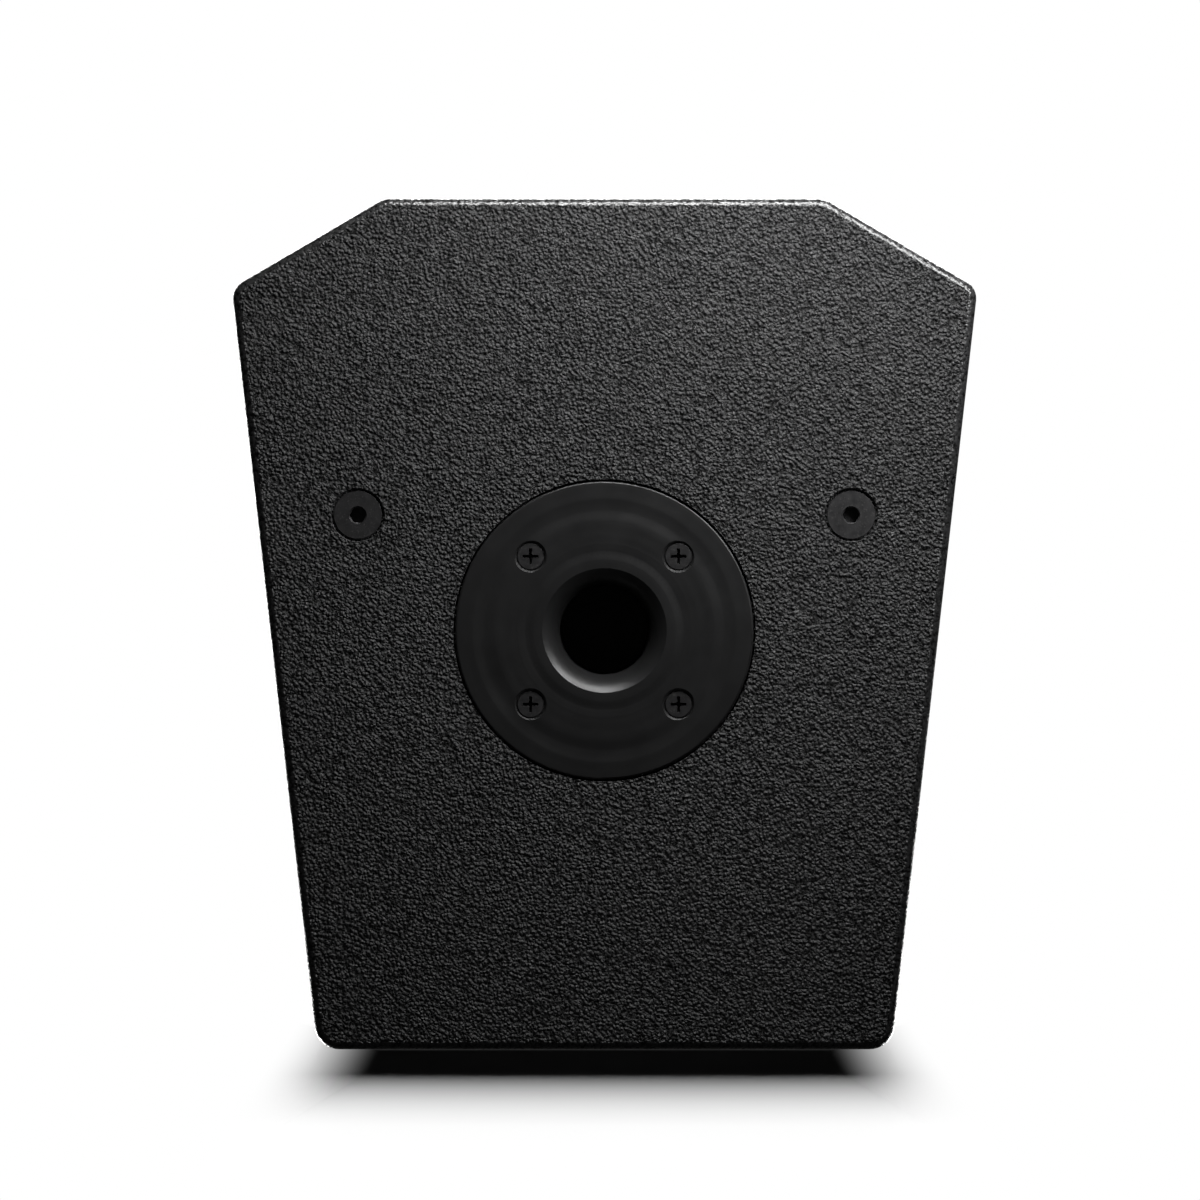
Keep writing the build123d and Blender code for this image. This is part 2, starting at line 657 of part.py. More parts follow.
with BuildPart() as woofer_surround:
    land_front, land_rear, land_r = ledge_y - 1.1, ledge_y - 0.3, ledge_r - 0.3
    roll_r, glue_r = (cone_r + frame_bore_r + 0.6) / 2, 94.0
    with BuildSketch(Plane((0, 0, woofer_z))):
        with BuildLine():
            Polyline(
                (frame_bore_r, land_rear),
                (land_r, land_rear),
                (land_r, land_front),
                (frame_bore_r + 0.6, land_front),
            )
            ThreePointArc(
                (frame_bore_r + 0.6, land_front), (roll_r, land_front - 4.7), (cone_r, cone_mouth_y - 1.2)
            )
            Polyline(
                (cone_r, cone_mouth_y - 1.2),
                (glue_r, wall_of_cone(glue_r) - 1.2),
                (glue_r, wall_of_cone(glue_r) - 0.4),
                (cone_r + 0.4, cone_mouth_y - 0.5),
            )
            ThreePointArc(
                (cone_r + 0.4, cone_mouth_y - 0.5), (roll_r, land_front - 3.8), (frame_bore_r, land_rear)
            )
        make_face()
    revolve(axis=Axis((0, 0, woofer_z), (0, 1, 0)))
keep(woofer_surround, "woofer_surround")

with BuildPart() as woofer_cone:
    collar_r, cone_t = former_r[1] + joint_gap, 1.1
    cone_profile = [
        (collar_r, wall_of_cone(collar_r)),
        (cone_r, cone_mouth_y),
        (cone_r, cone_mouth_y + cone_t),
        (collar_r + 1.2, cone_neck_y + 0.6),
        (collar_r + 1.2, cone_neck_y + 4),
        (collar_r, cone_neck_y + 4),
    ]
    add(turned(cone_profile, woofer_z))
keep(woofer_cone, "woofer_cone")

with BuildPart() as woofer_dust_cap:
    cap_r, cap_rise = 39.5, 13.0
    cap_edge = wall_of_cone(cap_r) - 0.2
    with BuildSketch(Plane((0, 0, woofer_z))):
        with BuildLine():
            dome(cap_r, -cap_rise, cap_edge)
            Line((cap_r, cap_edge), (cap_r - 1.1, cap_edge + 0.4))
            dome(cap_r - 1.1, 0.4 - cap_rise, cap_edge + 0.4)
            Line((0, cap_edge - cap_rise + 0.8), (0, cap_edge - cap_rise))
        make_face()
    revolve(axis=Axis((0, 0, woofer_z), (0, 1, 0)))
keep(woofer_dust_cap, "woofer_dust_cap")

with BuildPart() as woofer_voice_coil:
    coil_profile = [
        (former_r[0], former_end),
        (former_r[1], former_end),
        (former_r[1], coil_ends[0]),
        (coil_r, coil_ends[0]),
        (coil_r, coil_ends[1]),
        (former_r[0], coil_ends[1]),
    ]
    add(turned(coil_profile, woofer_z))
keep(woofer_voice_coil, "woofer_voice_coil")

with BuildPart() as woofer_spider:
    spider_r = (former_r[1] + 0.4, 78.0)
    add(turned(ring_profile(*spider_r, spider_seat_y - 1.2, spider_seat_y - 0.4), woofer_z))
keep(woofer_spider, "woofer_spider")

with BuildPart() as woofer_top_plate:
    add(turned(ring_profile(27.0, motor_plate_r, basket_back, magnet_front), woofer_z))
keep(woofer_top_plate, "woofer_top_plate")

with BuildPart() as woofer_magnet:
    add(turned(ring_profile(34.0, magnet_r, magnet_front, magnet_rear), woofer_z))
    chamfer(woofer_magnet.edges().filter_by(GeomType.CIRCLE).group_by(SortBy.RADIUS)[-1], 1.5)
keep(woofer_magnet, "woofer_magnet")

with BuildPart() as woofer_pole_piece:
    pole_r, vent_r = 24.7, 10.0
    pole_profile = [
        (vent_r, motor_rear),
        (vent_r, basket_back),
        (pole_r, basket_back),
        (pole_r, magnet_rear),
        (motor_plate_r, magnet_rear),
        (motor_plate_r, motor_rear),
    ]
    add(turned(pole_profile, woofer_z))
keep(woofer_pole_piece, "woofer_pole_piece")

with BuildPart() as woofer_terminals:
    with Locations((0, -59, woofer_z + 75.5)):
        Box(30, 10, 17)
    add(woofer_frame.part, mode=Mode.SUBTRACT)
    with Locations((-9, -49, woofer_z + 78), (9, -49, woofer_z + 78)):
        Box(0.8, 10, 6.3)
keep(woofer_terminals, "woofer_terminals")

# --- Horn ------------------------------------------------------------------------------------------------
horn_front = baffle_front - horn_seal_t - horn_flange_t
throat_y, throat_r, horn_wall = -33.0, 12.7, 3.5
mouth_w, mouth_h = 200.0, 104.0
throat_disc_r, throat_disc_t = 45.0, 4.0
driver_bolt_r, driver_screw_r = 37.0, 2.5
driver_bolt_places = [
    facing_front(
        driver_bolt_r * math.cos(math.radians(a)),
        throat_y - throat_disc_t,
        horn_z + driver_bolt_r * math.sin(math.radians(a)),
    )
    for a in (45, 135, 225, 315)
]


def flare(outset):
    """The horn's passage from the throat to the mouth, opening faster towards the mouth."""
    with BuildPart() as passage:
        for step in (0, 0.2, 0.4, 0.6, 0.8, 1):
            half_w = throat_r + outset + (mouth_w / 2 - throat_r) * step**1.6
            half_h = throat_r + outset + (mouth_h / 2 - throat_r) * step**1.9
            y = throat_y + (horn_front - throat_y) * step
            round_r = (throat_r + outset) * (1 - 0.02) + (6 - throat_r) * step
            with BuildSketch(facing_front(0, y, horn_z)):
                RectangleRounded(2 * half_w, 2 * half_h, round_r)
        loft()
    return passage.part


with BuildPart() as horn:
    add(flare(horn_wall))
    flange_plan = rounded(*horn_flange, flange_round, facing_front(0, baffle_front - horn_seal_t, horn_z))
    extrude(flange_plan, amount=horn_flange_t)
    with Locations(facing_front(0, throat_y - throat_disc_t / 2, horn_z)):
        Cylinder(throat_disc_r, throat_disc_t)
    add(flare(0), mode=Mode.SUBTRACT)
    with Locations(*horn_bolt_places):
        add(cylinder_hole(small_screw_r + joint_gap, horn_flange_t + 1), mode=Mode.SUBTRACT)
    with Locations(*driver_bolt_places):
        add(cylinder_hole(driver_screw_r + joint_gap, throat_disc_t + 1), mode=Mode.SUBTRACT)
keep(horn, "horn")

with BuildPart() as horn_seal:
    with BuildSketch(facing_front(0, baffle_front, horn_z)):
        RectangleRounded(horn_flange[0] - 2, horn_flange[1] - 2, 9)
        RectangleRounded(*horn_cut, horn_cut_round, mode=Mode.SUBTRACT)
    extrude(amount=horn_seal_t)
    with Locations(*horn_bolt_places):
        add(cylinder_hole(small_screw_r + joint_gap, horn_flange_t + horn_seal_t + 1), mode=Mode.SUBTRACT)
keep(horn_seal, "horn_seal")

with BuildPart() as horn_screws:
    horn_screw = cross_driven(button(4.0, 2.4, small_screw_r, horn_screw_length), 4.4, 1.0, 1.6, 2.4)
    add(at(horn_bolt_places, horn_screw))
keep(horn_screws, "horn_screws")

# --- Compression driver ----------------------------------------------------------------------------------
hf_r, hf_plate_t, hf_magnet_t, hf_top_t = 46.0, 8.0, 16.0, 8.0
hf_plate_rear = throat_y + hf_plate_t
hf_magnet_rear = hf_plate_rear + hf_magnet_t
hf_top_rear = hf_magnet_rear + hf_top_t
hf_pole_r, hf_gap_r, hf_bore_r = 21.3, 22.9, 19.0
dome_r, dome_rise, dome_base = 21.9, 8.0, hf_top_rear + 2.2
cover_rear, cover_wall, cover_cavity_r = 26.0, 3.0, 38.8

with BuildPart() as hf_pole_plate:
    hf_pole_profile = [
        (throat_r, throat_y),
        (hf_bore_r, hf_top_rear),
        (hf_pole_r, hf_top_rear),
        (hf_pole_r, hf_plate_rear),
        (hf_r, hf_plate_rear),
        (hf_r, throat_y),
    ]
    add(turned(hf_pole_profile, horn_z))
    with Locations(*driver_bolt_places):
        add(cylinder_hole(driver_screw_r + joint_gap, throat_disc_t + 7.5), mode=Mode.SUBTRACT)
keep(hf_pole_plate, "hf_pole_plate")

with BuildPart() as phase_plug_room:
    room_profile = [
        (0, throat_y + 3),
        (throat_r + 0.4, throat_y + 3),
        (hf_bore_r - joint_gap, hf_top_rear),
        (0, hf_top_rear),
    ]
    add(turned(room_profile, horn_z))

with BuildPart() as hf_phase_plug:
    with Locations(facing_rear(0, (throat_y + 6 + hf_top_rear) / 2, horn_z)):
        for turn in (0, 60, 120):
            Box(2 * hf_bore_r, 1.6, hf_top_rear - throat_y - 6, rotation=(0, 0, turn))
    add(phase_plug_room.part, mode=Mode.INTERSECT)
    add(turned([(0, throat_y + 4), (3, throat_y + 7), (15, hf_top_rear), (0, hf_top_rear)], horn_z))
keep(hf_phase_plug, "hf_phase_plug")

with BuildPart() as hf_magnet:
    add(turned(ring_profile(27, hf_r - 1, hf_plate_rear, hf_magnet_rear), horn_z))
keep(hf_magnet, "hf_magnet")

with BuildPart() as hf_top_plate:
    add(turned(ring_profile(hf_gap_r, hf_r, hf_magnet_rear, hf_top_rear), horn_z))
keep(hf_top_plate, "hf_top_plate")

with BuildPart() as hf_diaphragm:
    with BuildSketch(Plane((0, 0, horn_z))):
        with BuildLine():
            dome(dome_r, dome_rise, dome_base)
            Polyline((dome_r, dome_base), (dome_r, hf_top_rear - 7), (dome_r + 0.4, hf_top_rear - 7))
            Polyline((dome_r + 0.4, hf_top_rear - 7), (dome_r + 0.4, dome_base), (dome_r + 6, dome_base))
            Polyline((dome_r + 6, dome_base), (dome_r + 6, dome_base + 0.4), (dome_r + 0.2, dome_base + 0.4))
            dome(dome_r + 0.2, dome_rise, dome_base + 0.4)
            Line((0, dome_base + dome_rise + 0.4), (0, dome_base + dome_rise))
        make_face()
    revolve(axis=Axis((0, 0, horn_z), (0, 1, 0)))
keep(hf_diaphragm, "hf_diaphragm")

with BuildPart() as hf_mount_ring:
    add(turned(ring_profile(dome_r + 6.5, cover_cavity_r - 0.3, hf_top_rear, dome_base + 1.5), horn_z))
keep(hf_mount_ring, "hf_mount_ring")

with BuildPart() as hf_rear_cover:
    cover_profile = [
        (cover_cavity_r, hf_top_rear),
        (hf_r, hf_top_rear),
        (hf_r, cover_rear),
        (0, cover_rear),
        (0, cover_rear - cover_wall),
        (cover_cavity_r, cover_rear - cover_wall),
    ]
    add(turned(cover_profile, horn_z))
    fillet(hf_rear_cover.edges().filter_by(GeomType.CIRCLE).sort_by(Axis.Y)[-1], 4)
keep(hf_rear_cover, "hf_rear_cover")

with BuildPart() as hf_driver_screws:
    head_r, head_h = 4.4, 2.7
    driver_screw = button(head_r, head_h, driver_screw_r, throat_disc_t + 7)
    add(at(driver_bolt_places, hex_driven(driver_screw, 3.0, 1.8, head_h)))
keep(hf_driver_screws, "hf_driver_screws")

# --- Port tubes ------------------------------------------------------------------------------------------
port_flange_r, port_flange_t, port_outer_r, port_bore_r, port_end = 32.0, 3.0, 24.0, 22.0, -55.0


def port_tube(x):
    front, mouth_round, sin45 = baffle_front - port_flange_t, 4.0, math.sin(math.radians(45))
    with BuildPart() as tube:
        with BuildSketch(Plane((x, 0, port_z))):
            with BuildLine():
                Line((port_flange_r, baffle_front), (port_flange_r, front + 1.2))
                Line((port_flange_r, front + 1.2), (port_flange_r - 1.2, front))
                Line((port_flange_r - 1.2, front), (port_bore_r + mouth_round, front))
                ThreePointArc(
                    (port_bore_r + mouth_round, front),
                    (port_bore_r + mouth_round * (1 - sin45), front + mouth_round * (1 - sin45)),
                    (port_bore_r, front + mouth_round),
                )
                Line((port_bore_r, front + mouth_round), (port_bore_r, port_end))
                Line((port_bore_r, port_end), (port_outer_r, port_end))
                Line((port_outer_r, port_end), (port_outer_r, baffle_front))
                Line((port_outer_r, baffle_front), (port_flange_r, baffle_front))
            make_face()
        revolve(axis=Axis((x, 0, port_z), (0, 1, 0)))
    return tube.part


with BuildPart() as port_tubes:
    add(port_tube(-port_x))
    add(port_tube(port_x))
keep(port_tubes, "port_tubes")

# --- Crossover -------------------------------------------------------------------------------------------
standoff_r = 3.5

with BuildPart() as crossover_board:
    extrude(rounded(board_w, board_h, 3, facing_rear(0, board_front, crossover_z)), amount=board_t)
    with Locations(*crossover_screw_places):
        add(cylinder_hole(board_screw_r + joint_gap, board_t + 1), mode=Mode.SUBTRACT)
keep(crossover_board, "crossover_board")

with BuildPart() as crossover_standoffs:
    foot = Location((0, 0, -board_t - standoff))
    post = sleeve(standoff_r, board_screw_r + joint_gap, standoff)
    add(at([place * foot for place in crossover_screw_places], post))
keep(crossover_standoffs, "crossover_standoffs")

with BuildPart() as crossover_screws:
    board_screw = button(3.0, 2.0, board_screw_r, board_t + standoff + board_screw_bite)
    add(at(crossover_screw_places, cross_driven(board_screw, 3.2, 0.8, 1.3, 2.0)))
keep(crossover_screws, "crossover_screws")


def on_board(x, z):
    return facing_front(x, board_front, crossover_z + z)


with BuildPart() as crossover_coils:
    for x, z, core_r, coil_outer, coil_h in [(-45, 10, 9.0, 21.0, 18.0), (10, 15, 6.5, 15.5, 14.0)]:
        add(at([on_board(x, z)], sleeve(coil_outer, core_r, coil_h)))
keep(crossover_coils, "crossover_coils")

with BuildPart() as crossover_capacitors:
    cap_r, cap_length = 8.0, 34.0
    with Locations(*[on_board(50, z) * Location((0, 0, cap_r)) for z in (-8, 11, 30)]):
        Cylinder(cap_r, cap_length, rotation=(0, 90, 0))
keep(crossover_capacitors, "crossover_capacitors")

with BuildPart() as crossover_resistors:
    with Locations(*[on_board(-5, z) * Location((0, 0, 4.5)) for z in (-23, -11)]):
        Box(48, 9, 9)
keep(crossover_resistors, "crossover_resistors")

# --- Input dish and its sockets --------------------------------------------------------------------------
socket_x, socket_body_r, socket_cavity_r, socket_core_r = 30.0, 12.0, 10.6, 6.5
socket_flange, socket_flange_t, socket_length = (26.0, 31.0), 2.5, 24.0
dish_floor_z = -dish_depth + dish_wall
socket_screw_spots, socket_screw_r = [(-9.6, 12.2), (9.6, -12.2)], 1.4
dish_head_r, dish_screw_rim, tub_taper = 3.6, 0.4, 5


def tub(flange, flange_t, mouth, depth, wall_t, rounding, plane):
    """A flanged tub let in at a plane: its flange ends at the plane's +flange_t and its floor at -depth."""
    with BuildPart() as shell:
        with BuildSketch(plane):
            RectangleRounded(*flange, flange_round)
        extrude(amount=flange_t)
        with BuildSketch(plane):
            RectangleRounded(*mouth, rounding)
        extrude(amount=-depth, taper=tub_taper)
        with BuildSketch(plane.offset(flange_t)):
            RectangleRounded(mouth[0] - 2 * wall_t, mouth[1] - 2 * wall_t, rounding - wall_t)
        extrude(amount=-flange_t - depth + wall_t, taper=tub_taper, mode=Mode.SUBTRACT)
    return shell.part


with BuildPart() as input_dish:
    sunk = dish_plane.offset(-dish_flange_t)
    below_flange = dish_depth - dish_flange_t
    add(tub(dish_flange, dish_flange_t, dish_tub, below_flange, dish_wall, dish_tub_round, sunk))
    with Locations(*[dish_plane * Location((x, 0, dish_floor_z)) for x in (-socket_x, socket_x)]):
        add(cylinder_hole(socket_body_r + joint_gap, dish_wall + 1), mode=Mode.SUBTRACT)
        with Locations(*[Location((x, z, 0)) for x, z in socket_screw_spots]):
            add(cylinder_hole(socket_screw_r + joint_gap, dish_wall + 1), mode=Mode.SUBTRACT)
    with Locations(*dish_screw_places):
        add(screw_seat(dish_head_r, small_screw_r, 6, 0.0, rim=dish_screw_rim, ring=0.1), mode=Mode.SUBTRACT)
keep(input_dish, "input_dish")

with BuildPart() as input_dish_screws:
    dish_screw = countersunk(dish_head_r, small_screw_r, dish_screw_length, rim=dish_screw_rim)
    add(at(dish_screw_places, cross_driven(dish_screw, 3.8, 0.9, 1.4)))
keep(input_dish_screws, "input_dish_screws")


def speaker_socket():
    """A round two-keyway socket on a square flange. Its flange's rear face is at the origin."""
    mouth_depth, ring_depth, body_end = 8.0, 18.0, -socket_length
    with BuildPart() as body:
        with BuildSketch():
            RectangleRounded(*socket_flange, 3)
        extrude(amount=socket_flange_t)
        with BuildSketch():
            Circle(socket_body_r)
        extrude(amount=body_end)
        with BuildSketch(Plane.XY.offset(socket_flange_t)):
            Circle(socket_cavity_r)
        extrude(amount=-ring_depth, mode=Mode.SUBTRACT)
        with BuildSketch(Plane.XY.offset(socket_flange_t - ring_depth)):
            Circle(socket_core_r)
        extrude(amount=ring_depth - mouth_depth + 2.5)
        with BuildSketch(Plane.XY.offset(socket_flange_t)):
            Rectangle(3.2, 2 * socket_cavity_r + 2.2)
        extrude(amount=-mouth_depth, mode=Mode.SUBTRACT)
        with Locations(*[Location((x, z, socket_flange_t)) for x, z in socket_screw_spots]):
            add(cylinder_hole(socket_screw_r + joint_gap, socket_flange_t + 1), mode=Mode.SUBTRACT)
    return body.part


def in_dish(x, z=0.0, forward=0.0):
    return dish_plane * Location((x, z, dish_floor_z + forward))


with BuildPart() as input_socket:
    add(at([in_dish(-socket_x)], speaker_socket()))
keep(input_socket, "input_socket")

with BuildPart() as link_socket:
    add(at([in_dish(socket_x)], speaker_socket()))
keep(link_socket, "link_socket")

with BuildPart() as socket_screws:
    spots = [
        in_dish(side * socket_x + x, z, socket_flange_t) for side in (-1, 1) for x, z in socket_screw_spots
    ]
    add(at(spots, cross_driven(button(2.7, 1.6, socket_screw_r, 9), 2.8, 0.7, 1.0, 1.6)))
keep(socket_screws, "socket_screws")

tab_rear = -socket_length - 10
with BuildPart() as socket_tabs:
    for side in (-1, 1):
        tab_middle = (tab_rear - socket_length) / 2
        tabs = [in_dish(side * socket_x + x, z, tab_middle) for x in (-5, 5) for z in (-4, 4)]
        with Locations(*tabs):
            Box(0.8, 5, 10)
keep(socket_tabs, "socket_tabs")

# --- Handles ---------------------------------------------------------------------------------------------
bar_r, grip_r, bar_sink, grip_half = 5.0, 11.0, 12.0, 58.0
bar_half = handle_tub[0] / 2 - bar_sink * math.tan(math.radians(tub_taper)) - 0.6
bar_plane = Plane(handle_plane.offset(-bar_sink).origin, x_dir=(0, 0, 1), z_dir=side_along)

with BuildPart() as right_handle_dish:
    handle_sizes = (handle_flange, handle_flange_t, handle_tub, handle_depth, handle_wall, handle_tub_round)
    add(tub(*handle_sizes, handle_plane))
    with Locations(*handle_screw_places):
        add(cylinder_hole(handle_screw_r + joint_gap, handle_flange_t + 1), mode=Mode.SUBTRACT)
    with Locations(bar_plane):
        Cylinder(bar_r + joint_gap, 2 * bar_half + 0.4, mode=Mode.SUBTRACT)

with BuildPart() as right_handle_bar:
    with Locations(bar_plane):
        Cylinder(bar_r, 2 * bar_half)

with BuildPart() as right_handle_grip:
    with Locations(bar_plane):
        Cylinder(grip_r, 2 * grip_half)
        Cylinder(bar_r, 2 * grip_half, mode=Mode.SUBTRACT)
    fillet(right_handle_grip.edges().filter_by(GeomType.CIRCLE).group_by(SortBy.RADIUS)[-1], 2)

keep(right_handle_dish, "handle_dish_right")

with BuildPart() as left_handle_dish:
    add(right_handle_dish.part)
    mirror(about=Plane.YZ, mode=Mode.REPLACE)
keep(left_handle_dish, "handle_dish_left")

with BuildPart() as handle_bars:
    add(with_mirror(right_handle_bar.part))
keep(handle_bars, "handle_bars")

with BuildPart() as handle_grips:
    add(with_mirror(right_handle_grip.part))
keep(handle_grips, "handle_grips")

with BuildPart() as handle_screws:
    handle_screw = cross_driven(button(4.0, 2.4, handle_screw_r, 15), 4.4, 1.0, 1.6, 2.4)
    add(with_mirror(at(handle_screw_places, handle_screw)))
keep(handle_screws, "handle_screws")

# --- Wadding and wires -----------------------------------------------------------------------------------
with BuildPart() as wadding:
    pad_gap, pad_t, pad_low, pad_high, pad_front, pad_rear = 0.3, 18.0, 30.0, 205.0, -85.0, 140.0
    pad_plan = [
        (side_x(y, wall + inset), y)
        for y, inset in [(pad_front, pad_gap), (pad_rear, pad_gap), (pad_rear, pad_t), (pad_front, pad_t)]
    ]
    extrude(polygon(pad_plan, Plane.XY.offset(pad_low)), amount=pad_high - pad_low)
    mirror(about=Plane.YZ)
    with Locations((0, 55, height - wall - pad_gap - pad_t / 2)):
        Box(120, 170, pad_t)
keep(wadding, "wadding")

wire_r = 2.5
link_z, feed_z, board_low, board_high = 154.0, 146.0, 292.0, 378.0
board_face, tab_end = board_front - 0.3, rear_y + dish_floor_z + tab_rear - 0.3
input_route = [(25, tab_end, feed_z), (25, 70, feed_z), (40, 70, board_low), (40, board_face, board_low)]
link_route = [(-25, tab_end, link_z), (-25, 80, link_z), (35, 80, link_z), (35, tab_end, link_z)]
lf_route = [(0, -43.7, 233), (0, 30, 233), (-40, 90, board_low), (-40, board_face, board_low)]
hf_route = [(0, cover_rear + 0.3, 425), (0, 70, 425), (40, 100, board_high), (40, board_face, board_high)]


def corner_radii(points):
    """At each corner, the arc that leaves a tenth of the shorter run straight."""
    runs = [Vector(*b) - Vector(*a) for a, b in zip(points, points[1:])]
    return [
        0.45 * min(one.length, two.length) / math.tan(math.radians(one.get_angle(two)) / 2)
        for one, two in zip(runs, runs[1:])
    ]


def wire(route):
    with BuildPart() as body:
        with BuildLine() as path:
            FilletPolyline(*route, radius=corner_radii(route))
        with BuildSketch(Plane(path.line @ 0, z_dir=path.line % 0)):
            Circle(wire_r)
        sweep(path=path.wires()[0])
    run = path.wires()[0].length
    drift = body.part.volume / (math.pi * wire_r**2 * run) - 1
    print(f"wire {run:.1f} long, radii {[round(r, 1) for r in corner_radii(route)]}, volume {drift:+.4%}")
    return body.part


with BuildPart() as input_wires:
    add(wire(input_route))
    add(wire(link_route))
keep(input_wires, "input_wires")

with BuildPart() as lf_wires:
    add(wire(lf_route))
keep(lf_wires, "lf_wires")

with BuildPart() as hf_wires:
    add(wire(hf_route))
keep(hf_wires, "hf_wires")
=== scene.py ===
"""Looks of the loudspeaker cabinet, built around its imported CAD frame.

Metres. +Z is up and the grille faces -Y. The main camera looks up at the underside, with the front at the
top of the picture.
"""

import json
import math
import random

import bpy
from mathutils import Matrix, Vector, noise


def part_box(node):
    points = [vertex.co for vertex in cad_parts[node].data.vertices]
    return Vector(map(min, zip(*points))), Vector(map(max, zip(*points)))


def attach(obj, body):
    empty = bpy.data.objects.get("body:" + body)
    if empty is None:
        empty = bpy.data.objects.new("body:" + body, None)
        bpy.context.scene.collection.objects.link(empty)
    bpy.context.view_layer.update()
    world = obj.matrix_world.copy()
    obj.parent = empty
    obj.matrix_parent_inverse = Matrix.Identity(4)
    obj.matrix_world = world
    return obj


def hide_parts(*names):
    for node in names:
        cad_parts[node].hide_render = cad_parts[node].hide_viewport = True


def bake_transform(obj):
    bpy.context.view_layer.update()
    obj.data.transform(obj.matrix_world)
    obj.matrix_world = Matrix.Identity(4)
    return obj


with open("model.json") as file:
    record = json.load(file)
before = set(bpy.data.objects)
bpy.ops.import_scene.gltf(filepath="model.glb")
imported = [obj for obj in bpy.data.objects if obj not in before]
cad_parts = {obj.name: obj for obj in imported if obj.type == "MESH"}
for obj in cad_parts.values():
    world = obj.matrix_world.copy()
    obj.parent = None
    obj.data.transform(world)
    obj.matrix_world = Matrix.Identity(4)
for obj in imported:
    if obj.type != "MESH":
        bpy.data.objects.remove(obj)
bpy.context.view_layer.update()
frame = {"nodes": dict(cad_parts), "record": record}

NODES = frame["nodes"]
RECORD = frame["record"]
CABINET, WOOFER = "cabinet", "woofer_piston"
MM = 0.001


